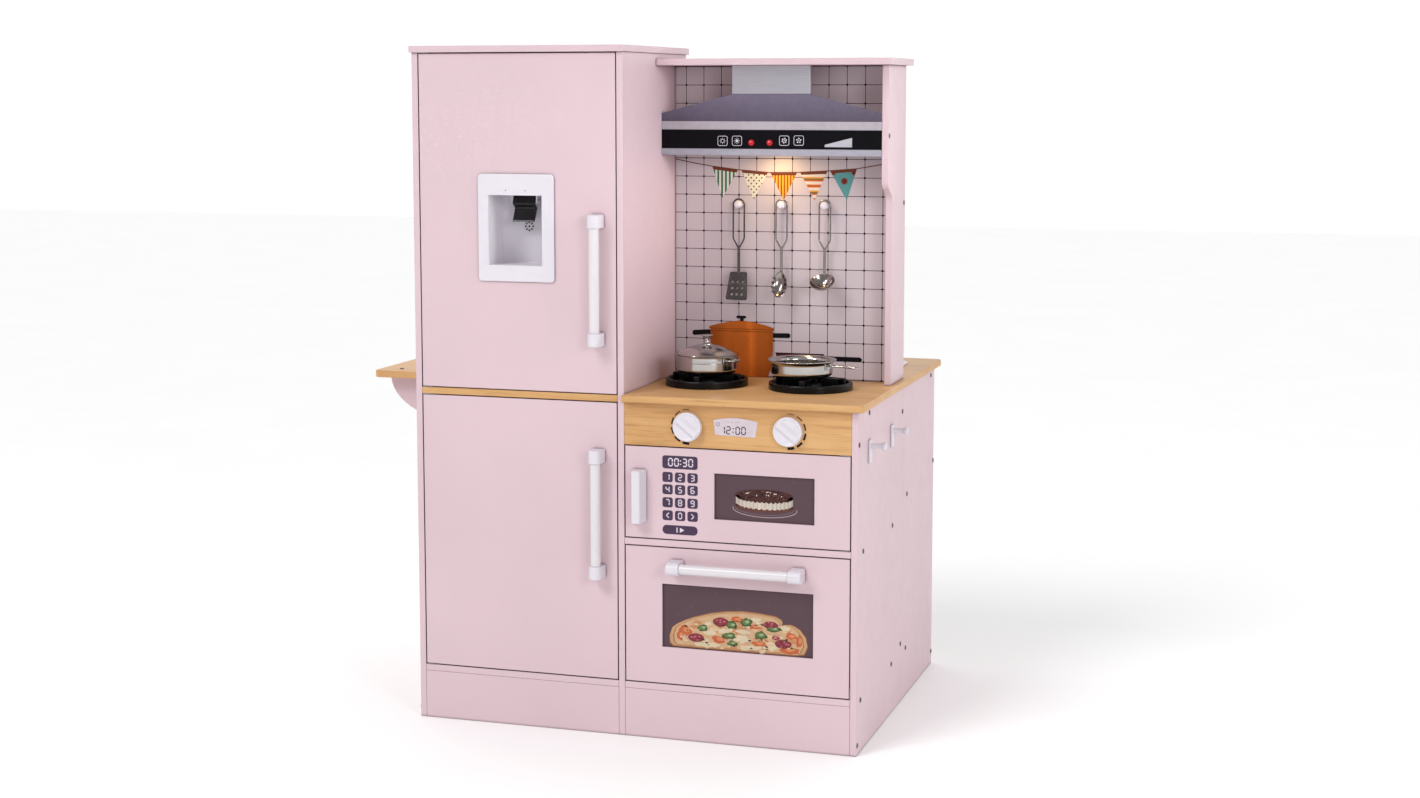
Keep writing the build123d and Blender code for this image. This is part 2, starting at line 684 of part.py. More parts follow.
for label, knob_s in zip(("knob_left", "knob_right"), KNOB_S):
    with BuildPart() as knob:
        seat = at(knob_s, -KNOB_CLEAR, KNOB_Z)
        outward = Plane(origin=seat, x_dir=(1, 0, 0), z_dir=(0, -1, 0))
        with BuildSketch(outward):
            Circle(KNOB_RADIUS)
        extrude(amount=KNOB_RIM - KNOB_CLEAR, taper=6)
        with BuildSketch(outward.offset(KNOB_FACE - KNOB_CLEAR)):
            Circle(KNOB_RADIUS - 3.2)
        extrude(amount=KNOB_RIM - KNOB_FACE, mode=Mode.SUBTRACT)
        with BuildSketch(outward):
            Rectangle(2 * KNOB_RADIUS - 8, KNOB_CREST_WIDTH, rotation=KNOB_TURN)
        extrude(amount=KNOB_CREST - KNOB_CLEAR, taper=18)
        inward = Plane(origin=seat, z_dir=(0, 1, 0))
        with Locations(inward):
            Cylinder(
                KNOB_STEM_RADIUS,
                KNOB_CLEAR + BOARD + 2.6,
                align=BASE,
            )
        with Locations(inward.offset(KNOB_CLEAR + BOARD + KNOB_CLEAR)):
            Cone(
                KNOB_BARB_RADIUS,
                KNOB_STEM_RADIUS - 1,
                3,
                align=BASE,
            )
    knob.part.label = label
    save(knob)

# ---------------------------------------------------------------- burners
BURNER_S = (422.0, 586.0)
BURNER_D = 140.0
BURNER_RADIUS = 63.5
BURNER_HEIGHT = 11.5
TRIVET_HEIGHT = 7.0
TRIVET_REACH = 54.0
TRIVET_TOP = COUNTER_TOP + BURNER_HEIGHT + TRIVET_HEIGHT

with BuildPart() as burners:
    for burner_s in BURNER_S:
        with Locations(at(burner_s, BURNER_D, COUNTER_TOP)):
            Cylinder(
                BURNER_RADIUS,
                BURNER_HEIGHT,
                align=BASE,
            )
        with Locations(at(burner_s, BURNER_D, COUNTER_TOP + 5)):
            Cylinder(
                BURNER_RADIUS - 6,
                BURNER_HEIGHT,
                align=BASE,
                mode=Mode.SUBTRACT,
            )
        with Locations(at(burner_s, BURNER_D, COUNTER_TOP + 4)):
            Cylinder(18, 8, align=BASE)
            for turn in range(4):
                with Locations(Rotation(0, 0, 90 * turn)):
                    with Locations((TRIVET_REACH / 2, 0, 0)):
                        Box(
                            TRIVET_REACH,
                            9,
                            TRIVET_TOP - COUNTER_TOP - 4,
                            align=BASE,
                        )
burners.part.label = "burners"
save(burners)

# ---------------------------------------------------------------- pot, lid and pan
WARE_BASE = TRIVET_TOP + REST_GAP
POT_RADIUS = 47.0
POT_HEIGHT = 28.0
SHEET_METAL = 1.6
BASE_ROUND = 8.0
POT_TURN = -25.0  # direction of the handles' axis
PAN_RIM = 52.5
PAN_HEIGHT = 26.0
PAN_S = BURNER_S[1] - 14  # the pan stands a little to the left of its burner
PAN_HANDLE_TURN = -18.0
PAN_HANDLE_REACH = 100.0


def vessel(radius, height, rim):
    """A thin round pan standing on the origin, open at the top, with a flared rim."""
    inner = radius - SHEET_METAL
    flare = (rim - radius) * 0.6
    with BuildPart() as shell:
        with BuildSketch(Plane.XZ):
            with BuildLine():
                Line((0, 0), (radius - BASE_ROUND, 0))
                RadiusArc((radius - BASE_ROUND, 0), (radius, BASE_ROUND), -BASE_ROUND)
                Polyline(
                    (radius, BASE_ROUND),
                    (radius, height - flare - 1.2),
                    (rim, height - 1.2),
                    (rim, height),
                    (inner, height - flare),
                    (inner, BASE_ROUND),
                )
                RadiusArc(
                    (inner, BASE_ROUND),
                    (radius - BASE_ROUND, SHEET_METAL),
                    BASE_ROUND - SHEET_METAL,
                )
                Polyline((radius - BASE_ROUND, SHEET_METAL), (0, SHEET_METAL), (0, 0))
            make_face()
        revolve(axis=Axis.Z)
    return shell.part


LOOP_WIRE = 1.6
LOOP_SPREAD = 13.0
LOOP_OUT = 13.4
LOOP_ROOT = (POT_RADIUS**2 - LOOP_SPREAD**2) ** 0.5 - 0.8  # just inside the wall
pot_shell = vessel(POT_RADIUS, POT_HEIGHT, POT_RADIUS + 1.5)

with BuildPart() as pot_at_origin:
    add(pot_shell)
    for side in (0, 180):
        with BuildLine(Plane.XY.offset(POT_HEIGHT - 6).rotated((0, 0, side + POT_TURN))) as loop:
            FilletPolyline(
                (LOOP_ROOT, -LOOP_SPREAD),
                (POT_RADIUS + LOOP_OUT, 3 - LOOP_SPREAD),
                (POT_RADIUS + LOOP_OUT, LOOP_SPREAD - 3),
                (LOOP_ROOT, LOOP_SPREAD),
                radius=6,
            )
        loop_start = Plane(origin=loop.line @ 0, z_dir=loop.line % 0)
        with BuildSketch(loop_start):
            Circle(LOOP_WIRE)
        sweep(path=loop.line)
with BuildPart() as pot:
    with Locations(at(BURNER_S[0], BURNER_D, WARE_BASE)):
        add(pot_at_origin.part)
pot.part.label = "pot"
save(pot)

LID_RISE = 15.0
LID_RIM = 1.4  # thickness of the flat rim
LID_BASE = WARE_BASE + POT_HEIGHT + REST_GAP
LID_RADIUS = POT_RADIUS + 1.0
DOME_RADIUS = LID_RADIUS - 3.0
DOME_SPHERE = (DOME_RADIUS**2 + (LID_RISE - LID_RIM) ** 2) / (2 * (LID_RISE - LID_RIM))
LID_KNOB_RADIUS = 9.5
LID_KNOB_TOP = 30.0
LID_NECK = 3.5

with BuildPart() as lid_at_origin:
    with BuildSketch(Plane.XZ):
        with Locations((0, LID_RISE - DOME_SPHERE)):
            Circle(DOME_SPHERE)
            Circle(DOME_SPHERE - SHEET_METAL, mode=Mode.SUBTRACT)
        Rectangle(DOME_RADIUS, LID_RISE, align=(Align.MIN, Align.MIN), mode=Mode.INTERSECT)
        with Locations((DOME_RADIUS - 1, 0)):
            Rectangle(LID_RADIUS - DOME_RADIUS + 1, LID_RIM, align=(Align.MIN, Align.MIN))
        with BuildLine():
            Polyline(
                (0, LID_RISE - 0.8),
                (LID_NECK, LID_RISE - 0.8),
                (LID_NECK, LID_KNOB_TOP - 11),
                (LID_KNOB_RADIUS * 0.55, LID_KNOB_TOP - 6),
                (LID_KNOB_RADIUS, LID_KNOB_TOP - 2.5),
                (LID_KNOB_RADIUS - 1, LID_KNOB_TOP),
                (0, LID_KNOB_TOP),
                close=True,
            )
        make_face()
    revolve(axis=Axis.Z)
with BuildPart() as pot_lid:
    with Locations(at(BURNER_S[0], BURNER_D, LID_BASE)):
        add(lid_at_origin.part)
pot_lid.part.label = "pot_lid"
save(pot_lid)

pan_shell = vessel(POT_RADIUS, PAN_HEIGHT, PAN_RIM)
with BuildPart() as pan_at_origin:
    add(pan_shell)
    turned = Plane.XY.offset(PAN_HEIGHT - 8).rotated((0, 0, PAN_HANDLE_TURN))
    with BuildSketch(turned):
        with Locations((POT_RADIUS - 1.2, 0)):
            Rectangle(PAN_HANDLE_REACH - POT_RADIUS + 1.2 - 6, 10, align=(Align.MIN, Align.CENTER))
        with Locations((PAN_HANDLE_REACH - 6, 0)):
            Circle(6)
            Circle(2.4, mode=Mode.SUBTRACT)
    extrude(amount=2.4)
with BuildPart() as pan:
    with Locations(at(PAN_S, BURNER_D, WARE_BASE)):
        add(pan_at_origin.part)
pan.part.label = "pan"
save(pan)

# ---------------------------------------------------------------- pegs and utensils
PEG_S = (445.0, 514.0, 583.0)
PEG_Z = 790.5
PEG_NECK = 5.7
PEG_HEAD = 6.2
PEG_REACH = 20.0
PEG_HEAD_LENGTH = 7.0
HEAD_D = SPLASH[0] - PEG_REACH + PEG_HEAD_LENGTH  # where a peg's head begins
HANG_D = 232.0  # depth of the hanging handles
WIRE = 1.3
LOOP_HALF = 8.9  # half the loop's width, between wire centres
LOOP_FOOT = 0.9  # half the wires' spread where they meet the stem
LOOP_TOP = 798.6  # height of the wire's centre at the top
LOOP_END = 737.0
WAIST = 723.0
STEM_END = 684.0

with BuildPart() as utensil_pegs:
    for peg_s in PEG_S:
        with BuildSketch(Plane(origin=at(peg_s, SPLASH[0], PEG_Z), z_dir=(0, -1, 0))):
            Circle(PEG_NECK)
        extrude(amount=PEG_REACH - PEG_HEAD_LENGTH + 1)
        with BuildSketch(Plane(origin=at(peg_s, HEAD_D, PEG_Z), z_dir=(0, -1, 0))):
            Circle(PEG_HEAD)
        extrude(amount=PEG_HEAD_LENGTH)
    tips = [
        edge
        for edge in utensil_pegs.edges().filter_by(GeomType.CIRCLE)
        if edge.center().Y < y_of(SPLASH[0] - PEG_REACH) + 0.1
    ]
    fillet(tips, 4)
utensil_pegs.part.label = "utensil_pegs"
save(utensil_pegs)


def hanging_handle(peg_s):
    """A wire loop that narrows to a stem, in the plane of the hanging handles."""
    hang = Plane(origin=at(peg_s, HANG_D, 0), x_dir=(1, 0, 0), z_dir=(0, -1, 0))
    with BuildPart() as handle:
        with BuildLine(hang) as wire:
            FilletPolyline(
                (-LOOP_FOOT, WAIST),
                (-LOOP_HALF, LOOP_END),
                (-LOOP_HALF, LOOP_TOP),
                (LOOP_HALF, LOOP_TOP),
                (LOOP_HALF, LOOP_END),
                (LOOP_FOOT, WAIST),
                radius=[12, LOOP_HALF - 0.02, LOOP_HALF - 0.02, 12],
            )
        with BuildSketch(Plane(origin=wire.line @ 0, z_dir=wire.line % 0)):
            Circle(WIRE)
        sweep(path=wire.line)
        with BuildSketch(Plane.XY.offset(STEM_END)):
            with Locations((x_of(peg_s), y_of(HANG_D))):
                RectangleRounded(4.6, 2.4, 1.1)
        extrude(amount=WAIST - STEM_END + 2)
    return handle.part


HEAD_LEAN = 18.0  # degrees that a head leans forward
HEAD_START = STEM_END + 1.0


def head_plane(peg_s, lean):
    """The plane of a utensil's head: its Y runs up the handle, its Z out of the head's front."""
    return Plane(
        origin=at(peg_s, HANG_D, HEAD_START),
        x_dir=(1, 0, 0),
        z_dir=(0, -cos(radians(lean)), sin(radians(lean))),
    )


wire_handles = [hanging_handle(peg_s) for peg_s in PEG_S]

with BuildPart() as spatula:
    add(wire_handles[0])
    with BuildSketch(head_plane(PEG_S[0], HEAD_LEAN)) as blade:
        with BuildLine():
            Polyline((-14, 0), (14, 0), (17.5, -45), (-17.5, -45), close=True)
        make_face()
        fillet(blade.vertices(), 3)
        with Locations((0, -26)):
            with GridLocations(8, 10, 3, 3):
                Circle(2, mode=Mode.SUBTRACT)
    extrude(amount=0.8, both=True)
spatula.part.label = "spatula"
save(spatula)

SPOON_HALF_LENGTH = 20.5
SPOON_RADIUS = 18.0  # of the surface across the bowl
SPOON_DEPTH = 6.0
SPOON_HALF_WIDTH = (SPOON_RADIUS**2 - (SPOON_RADIUS - SPOON_DEPTH) ** 2) ** 0.5
SPOON_STRETCH = SPOON_HALF_LENGTH / SPOON_HALF_WIDTH
BOWL_WALL = 1.3

with BuildPart() as spoon_bowl:
    with BuildSketch(Plane.XY):
        Ellipse(SPOON_RADIUS, SPOON_RADIUS * SPOON_STRETCH)
        Ellipse(
            SPOON_RADIUS - BOWL_WALL,
            SPOON_RADIUS * SPOON_STRETCH - BOWL_WALL,
            mode=Mode.SUBTRACT,
        )
        Rectangle(
            2 * SPOON_RADIUS,
            4 * SPOON_RADIUS,
            align=(Align.MAX, Align.CENTER),
            mode=Mode.SUBTRACT,
        )
    revolve(axis=Axis.Y)
    split(bisect_by=Plane.XY.offset(SPOON_DEPTH - SPOON_RADIUS), keep=Keep.BOTTOM)

with BuildPart() as spoon:
    add(wire_handles[1])
    with Locations(head_plane(PEG_S[1], HEAD_LEAN)):
        with Locations((0, 1 - SPOON_HALF_LENGTH, SPOON_RADIUS - SPOON_DEPTH)):
            add(spoon_bowl.part)
spoon.part.label = "spoon"
save(spoon)

LADLE_RADIUS = 22.0  # of the bowl's surface
LADLE_DEPTH = 13.0
LADLE_RIM = (LADLE_RADIUS**2 - (LADLE_RADIUS - LADLE_DEPTH) ** 2) ** 0.5
LADLE_TILT = 32.0  # degrees that the mouth's normal turns from straight up to the front

with BuildPart() as ladle_bowl:
    Sphere(LADLE_RADIUS)
    Sphere(LADLE_RADIUS - BOWL_WALL, mode=Mode.SUBTRACT)
    split(bisect_by=Plane.XY.offset(LADLE_DEPTH - LADLE_RADIUS), keep=Keep.BOTTOM)

with BuildPart() as ladle:
    add(wire_handles[2])
    mouth = Plane(
        origin=at(PEG_S[2], HANG_D, HEAD_START),
        x_dir=(1, 0, 0),
        z_dir=(0, -sin(radians(LADLE_TILT)), cos(radians(LADLE_TILT))),
    )
    with Locations(mouth):
        with Locations((0, 1.2 - LADLE_RIM, LADLE_RADIUS - LADLE_DEPTH)):
            add(ladle_bowl.part)
ladle.part.label = "ladle"
save(ladle)

# ---------------------------------------------------------------- side hooks
HOOK_D = (68.0, 217.0)
HOOK_Z = 449.0
HOOK_PLATE = (3.0, 15.0, 34.0)
HOOK_ARM_RADIUS = 4.0
HOOK_KNOB = (6.2, 6.0)  # radius and length

with BuildPart() as side_hooks:
    for hook_d in HOOK_D:
        box_between(
            (WIDTH, WIDTH + HOOK_PLATE[0]),
            (hook_d - HOOK_PLATE[1] / 2, hook_d + HOOK_PLATE[1] / 2),
            (HOOK_Z - HOOK_PLATE[2] + 9, HOOK_Z + 9),
        )
        with Locations(Plane(origin=at(WIDTH, hook_d, HOOK_Z), z_dir=(1, 0, 0))):
            Cylinder(HOOK_ARM_RADIUS, HOOK_REACH - 1, align=BASE)
            with Locations((0, 0, HOOK_REACH - HOOK_KNOB[1])):
                Cylinder(*HOOK_KNOB, align=BASE)
    ends = side_hooks.edges().filter_by(GeomType.CIRCLE).group_by(Axis.X)[-1]
    fillet(ends, 2.5)
side_hooks.part.label = "side_hooks"
save(side_hooks)

# ---------------------------------------------------------------- hood lamp
LAMP_S = (480.0, 540.0)
LAMP_Z = (876.0, 900.0)
LAMP_D = (HOOD_BOARD[1], HOOD_BOARD[1] + 24.0)
LENS_RADIUS = 9.0
LENS_HEIGHT = 3.0

with BuildPart() as hood_lamp:
    box_between(LAMP_S, LAMP_D, LAMP_Z)
    fillet(hood_lamp.edges().filter_by(Axis.Z).sort_by(Axis.Y)[-2:], 6)
    lens_middle = at(sum(LAMP_S) / 2, sum(LAMP_D) / 2, LAMP_Z[0])
    with Locations(Plane(origin=lens_middle, z_dir=(0, 0, -1))):
        Cylinder(LENS_RADIUS, LENS_HEIGHT, align=BASE)
hood_lamp.part.label = "hood_lamp"
save(hood_lamp)

# ---------------------------------------------------------------- sink and faucet
SINK_RIM = ((423.0, 663.0), (340.0, 500.0))
SINK_RIM_HEIGHT = 3.0
SINK_WALL = 2.5
SINK_FLOOR = 452.0
SINK_CLEAR = 1.0
FAUCET_S = 543.0
FAUCET_D = 322.0
FAUCET_BASE_RADIUS = 15.0
FAUCET_BASE_HEIGHT = 14.0
SPOUT_RADIUS = 5.0
SPOUT_TOP = 640.0
SPOUT_REACH = 72.0

rim_s, rim_d = SINK_RIM
bowl_s = (SINK_S[0] + SINK_CLEAR, SINK_S[1] - SINK_CLEAR)
bowl_d = (SINK_D[0] + SINK_CLEAR, SINK_D[1] - SINK_CLEAR)
sink_middle = (x_of(sum(rim_s) / 2), y_of(sum(rim_d) / 2))
bowl_middle = (x_of(sum(bowl_s) / 2), y_of(sum(bowl_d) / 2))
bowl_size = (bowl_s[1] - bowl_s[0], bowl_d[1] - bowl_d[0])

with BuildPart() as sink_basin:
    with BuildSketch(Plane.XY.offset(COUNTER_TOP)):
        with Locations(sink_middle):
            RectangleRounded(rim_s[1] - rim_s[0], rim_d[1] - rim_d[0], 24)
    extrude(amount=SINK_RIM_HEIGHT)
    with BuildSketch(Plane.XY.offset(COUNTER_TOP)):
        with Locations(bowl_middle):
            RectangleRounded(*bowl_size, 20)
    extrude(amount=SINK_FLOOR - COUNTER_TOP)
    with BuildSketch(Plane.XY.offset(COUNTER_TOP + SINK_RIM_HEIGHT)):
        with Locations(bowl_middle):
            RectangleRounded(*[size - 2 * SINK_WALL for size in bowl_size], 20 - SINK_WALL)
    extrude(
        amount=SINK_FLOOR + SINK_WALL - COUNTER_TOP - SINK_RIM_HEIGHT,
        mode=Mode.SUBTRACT,
    )
    with Locations((*bowl_middle, SINK_FLOOR)):
        Cylinder(8, 3 * SINK_WALL, mode=Mode.SUBTRACT)
    lip = sink_basin.faces().sort_by(Axis.Z)[-1].outer_wire().edges()
    fillet(lip, 1.5)
sink_basin.part.label = "sink_basin"
save(sink_basin)

with BuildPart() as faucet_base:
    with Locations(at(FAUCET_S, FAUCET_D, COUNTER_TOP)):
        Cylinder(FAUCET_BASE_RADIUS, FAUCET_BASE_HEIGHT, align=BASE)
        with Locations((0, 0, 3)):
            Cylinder(
                SPOUT_RADIUS + RUNNING_FIT,
                FAUCET_BASE_HEIGHT,
                align=BASE,
                mode=Mode.SUBTRACT,
            )
    for side in (-1, 1):
        with Locations(at(FAUCET_S + side * 42, FAUCET_D, COUNTER_TOP)):
            Cylinder(10, 6, align=BASE)
            Cylinder(4, 16, align=BASE)
            with Locations((0, 0, 16)):
                Cylinder(11, 8, align=BASE)
faucet_base.part.label = "faucet_base"
save(faucet_base)

with BuildPart() as faucet_spout:
    neck_plane = Plane(origin=at(FAUCET_S, FAUCET_D, 0), x_dir=(0, 1, 0), z_dir=(1, 0, 0))
    with BuildLine(neck_plane) as neck:
        FilletPolyline(
            (0, COUNTER_TOP + 3 + REST_GAP),
            (0, SPOUT_TOP),
            (SPOUT_REACH, SPOUT_TOP),
            (SPOUT_REACH, SPOUT_TOP - 46),
            radius=SPOUT_REACH / 2 - 1,
        )
    with BuildSketch(Plane(origin=neck.line @ 0, z_dir=neck.line % 0)):
        Circle(SPOUT_RADIUS)
    sweep(path=neck.line)
    with Locations(at(FAUCET_S, FAUCET_D, COUNTER_TOP + FAUCET_BASE_HEIGHT + REST_GAP)):
        Cylinder(9, 8, align=BASE)
    with Locations(at(FAUCET_S, FAUCET_D + SPOUT_REACH, SPOUT_TOP - 46)):
        Cylinder(6.5, 10, align=BASE)
faucet_spout.part.label = "faucet_spout"
save(faucet_spout)
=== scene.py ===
"""Looks of the two-sided toy kitchen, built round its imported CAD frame.

Places are given in millimetres as s, the distance to the right of the fridge's outer left
face, d, the depth behind the front plane, and z, the height.
"""

import math
import random

import bmesh
import bpy
from mathutils import Matrix, Vector


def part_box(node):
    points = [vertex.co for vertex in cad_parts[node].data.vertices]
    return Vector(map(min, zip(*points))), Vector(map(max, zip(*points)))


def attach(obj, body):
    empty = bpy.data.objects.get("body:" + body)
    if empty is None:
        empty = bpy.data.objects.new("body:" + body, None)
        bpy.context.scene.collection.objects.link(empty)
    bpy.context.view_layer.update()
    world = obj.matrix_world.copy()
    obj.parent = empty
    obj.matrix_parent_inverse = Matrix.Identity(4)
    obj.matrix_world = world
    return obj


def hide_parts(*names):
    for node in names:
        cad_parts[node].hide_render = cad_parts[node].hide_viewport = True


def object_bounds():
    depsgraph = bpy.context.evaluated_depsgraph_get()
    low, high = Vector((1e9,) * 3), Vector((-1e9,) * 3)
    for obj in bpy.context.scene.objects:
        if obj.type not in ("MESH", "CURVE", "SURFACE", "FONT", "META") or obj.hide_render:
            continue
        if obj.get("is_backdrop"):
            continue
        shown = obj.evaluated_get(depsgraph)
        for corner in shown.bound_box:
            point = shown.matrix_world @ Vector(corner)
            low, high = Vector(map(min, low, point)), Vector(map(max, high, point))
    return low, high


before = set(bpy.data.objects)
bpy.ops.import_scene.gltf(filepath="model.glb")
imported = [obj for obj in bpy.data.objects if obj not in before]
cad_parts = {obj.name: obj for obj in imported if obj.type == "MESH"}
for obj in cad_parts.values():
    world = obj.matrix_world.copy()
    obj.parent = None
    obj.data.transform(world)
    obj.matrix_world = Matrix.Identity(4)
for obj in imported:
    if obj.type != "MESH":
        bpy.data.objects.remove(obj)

CAD_LOW, CAD_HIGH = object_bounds()
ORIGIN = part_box("fridge_side_left")[0]
MM = 0.001
dice = random.Random(7)


def at(s, d, z):
    """A point of the row frame, in metres."""
    return ORIGIN + Vector((s, d, z)) * MM


# ---------------------------------------------------------------- colours and materials
def rgb(r, g, b):
    """A display colour from 0 to 255 as scene-linear RGBA."""
    def linear(c):
        c /= 255
        return c / 12.92 if c <= 0.04045 else ((c + 0.055) / 1.055) ** 2.4
    return (linear(r), linear(g), linear(b), 1.0)


def scaled(colour, k):
    """The colour made lighter or darker by a factor."""
    return tuple(min(1.0, c * k) for c in colour[:3]) + (1.0,)


CLEAR = (1.0, 1.0, 1.0, 1.0)
SEAM_REACH = 0.005  # how far into a seam its ambient shade reaches, in metres


def set_inputs(node, **values):
    """Sets a node's sockets. An underscore stands for a space in a socket's name."""
    for key, value in values.items():
        node.inputs[key.replace("_", " ")].default_value = value


class Look:
    """A material under construction: its Principled shader and small helpers for patterns."""

    def __init__(self, name, **sockets):
        self.material = bpy.data.materials.new(name)
        self.material.use_nodes = True
        self.tree = self.material.node_tree
        self.shader = self.tree.nodes["Principled BSDF"]
        set_inputs(self.shader, **sockets)
        self.place = self.node("ShaderNodeTexCoord").outputs["Object"]

    def node(self, kind, **settings):
        made = self.tree.nodes.new(kind)
        for key, value in settings.items():
            setattr(made, key, value)
        return made

    def feed(self, socket, source):
        if isinstance(source, (int, float, tuple)):
            socket.default_value = source
        else:
            self.tree.links.new(source, socket)

    def noise(self, scale, stretch=(1, 1, 1), detail=3.0, rough=0.55, distortion=0.0, place=None):
        """Noise from 0 to 1, with scale in cycles a metre."""
        mapping = self.node("ShaderNodeMapping")
        mapping.inputs["Scale"].default_value = stretch
        self.feed(mapping.inputs["Vector"], place or self.place)
        made = self.node("ShaderNodeTexNoise")
        self.feed(made.inputs["Vector"], mapping.outputs[0])
        set_inputs(made, Scale=scale, Detail=detail, Roughness=rough, Distortion=distortion)
        return made.outputs["Fac"]

    def ramp(self, fac, *stops):
        """A colour ramp: each stop is a position and a colour."""
        made = self.node("ShaderNodeValToRGB")
        elements = made.color_ramp.elements
        while len(elements) < len(stops):
            elements.new(0.5)
        for element, (position, colour) in zip(elements, stops):
            element.position = position
            element.color = colour
        self.feed(made.inputs["Fac"], fac)
        return made.outputs["Color"]

    def spread(self, fac, low, high):
        """fac, from its usual 0.3 to 0.7, mapped to low to high."""
        made = self.node("ShaderNodeMapRange")
        set_inputs(made, From_Min=0.3, From_Max=0.7, To_Min=low, To_Max=high)
        self.feed(made.inputs["Value"], fac)
        return made.outputs["Result"]

    def mix(self, fac, a, b, blend="MIX"):
        made = self.node("ShaderNodeMix", data_type="RGBA", blend_type=blend)
        self.feed(made.inputs["Factor"], fac)
        self.feed(made.inputs["A"], a)
        self.feed(made.inputs["B"], b)
        return made.outputs["Result"]

    def colour(self, source):
        self.feed(self.shader.inputs["Base Color"], source)
        return self

    def rough(self, fac, low, high):
        self.feed(self.shader.inputs["Roughness"], self.spread(fac, low, high))
        return self

    def bump(self, height, distance, strength=1.0):
        """Adds relief: distance is its depth in metres."""
        made = self.node("ShaderNodeBump")
        set_inputs(made, Strength=strength, Distance=distance)
        self.feed(made.inputs["Height"], height)
        before = self.shader.inputs["Normal"]
        if before.is_linked:
            self.tree.links.new(before.links[0].from_socket, made.inputs["Normal"])
        self.tree.links.new(made.outputs["Normal"], before)
        return self


def painted(name, colour, low=0.4, high=0.52):
    """Sprayed paint on board: faint mottling, orange peel, uneven gloss, and painted shade that darkens seams
    and inner corners.
    """
    look = Look(name, Specular_IOR_Level=0.35, Coat_Weight=0.06, Coat_Roughness=0.3)
    broad = look.noise(4.0, detail=4.0)
    fine = look.noise(900.0, detail=2.0)
    tint = look.ramp(broad, (0.3, scaled(colour, 0.965)), (0.7, scaled(colour, 1.03)))
    speckled = look.mix(0.04, tint, look.ramp(fine, (0.3, scaled(colour, 0.8)), (0.7, scaled(colour, 1.2))))
    # Painted shade: ambient occlusion darkens the colour in seams, gaps and inner corners, within SEAM_REACH.
    seam_shade_ao = look.node("ShaderNodeAmbientOcclusion", samples=8)
    set_inputs(seam_shade_ao, Distance=SEAM_REACH)
    shade = look.ramp(seam_shade_ao.outputs["AO"], (0.12, (0.1, 0.06, 0.08, 1.0)), (0.5, (0.56, 0.5, 0.52, 1.0)),
                      (0.92, CLEAR))
    look.colour(look.mix(1.0, speckled, shade, "MULTIPLY"))
    look.rough(look.noise(35.0), low, high)
    look.bump(fine, 0.000008).bump(look.noise(140.0), 0.00004, 0.4)
    return look.material


def wooden(name, light, middle, dark):
    """Printed wood grain along X: broad bands, growth lines and short pores."""
    look = Look(name, Specular_IOR_Level=0.15)
    bands = look.noise(11.0, (0.16, 1.0, 1.0), detail=4.0, distortion=0.6)
    lines = look.noise(120.0, (0.045, 1.0, 1.0), detail=5.0, rough=0.65, distortion=0.4)
    pores = look.noise(700.0, (0.03, 1.0, 1.0), detail=2.0)
    base = look.ramp(bands, (0.3, dark), (0.47, middle), (0.62, light), (0.8, middle))
    grain = look.ramp(lines, (0.32, scaled(dark, 0.78)), (0.46, middle), (0.68, light))
    tone = look.mix(0.55, base, grain)
    marks = look.ramp(pores, (0.3, (0.55, 0.5, 0.45, 1.0)), (0.42, CLEAR))
    look.colour(look.mix(0.35, tone, marks, "MULTIPLY"))
    look.rough(lines, 0.34, 0.46)
    look.bump(pores, 0.00003, 0.7).bump(lines, 0.00004, 0.5)
    return look.material


def moulded(name, colour, low=0.24, high=0.34, grain=0.000006, shine=0.5):
    """Injection-moulded plastic: even colour with faint flow marks and a fine grain."""
    look = Look(name, Specular_IOR_Level=shine)
    flow = look.noise(28.0, detail=2.0)
    fine = look.noise(1500.0, detail=1.0)
    look.colour(look.ramp(flow, (0.3, scaled(colour, 0.985)), (0.7, scaled(colour, 1.01))))
    look.rough(look.noise(60.0), low, high)
    look.bump(fine, grain).bump(flow, 0.00001, 0.3)
    return look.material


def steel(name, colour, low, high, rings=False, stretch=(1, 1, 1)):
    """Stainless steel with fine brush marks, as rings round Z or stretched along an axis."""
    look = Look(name, Metallic=1.0, Anisotropic=0.35)
    place = look.place
    if rings:
        parts = look.node("ShaderNodeSeparateXYZ")
        look.feed(parts.inputs[0], look.place)
        flat = look.node("ShaderNodeCombineXYZ")
        for axis in "XY":
            look.feed(flat.inputs[axis], parts.outputs[axis])
        radius = look.node("ShaderNodeVectorMath", operation="LENGTH")
        look.feed(radius.inputs[0], flat.outputs[0])
        joined = look.node("ShaderNodeCombineXYZ")
        look.feed(joined.inputs["X"], radius.outputs["Value"])
        look.feed(joined.inputs["Z"], parts.outputs["Z"])
        place = joined.outputs[0]
    marks = look.noise(1900.0, stretch, detail=3.0, place=place)
    smudge = look.noise(45.0, detail=3.0)
    look.colour(look.ramp(marks, (0.3, scaled(colour, 0.9)), (0.7, scaled(colour, 1.06))))
    look.rough(look.mix(0.5, marks, smudge), low, high)
    look.bump(marks, 0.00002, 0.6)
    return look.material


def printed(name):
    """Printed film: the ink's own colour, from the mesh, with a fine dot screen."""
    look = Look(name, Specular_IOR_Level=0.1)
    ink = look.node("ShaderNodeVertexColor", layer_name="ink").outputs["Color"]
    screen = look.ramp(look.noise(1200.0, detail=1.0), (0.3, (0.86, 0.86, 0.86, 1)), (0.7, CLEAR))
    patches = look.ramp(look.noise(90.0), (0.3, (0.9, 0.9, 0.9, 1)), (0.7, CLEAR))
    look.colour(look.mix(1.0, look.mix(1.0, ink, screen, "MULTIPLY"), patches, "MULTIPLY"))
    look.rough(look.noise(50.0), 0.36, 0.5)
    look.bump(look.noise(600.0), 0.00001)
    return look.material


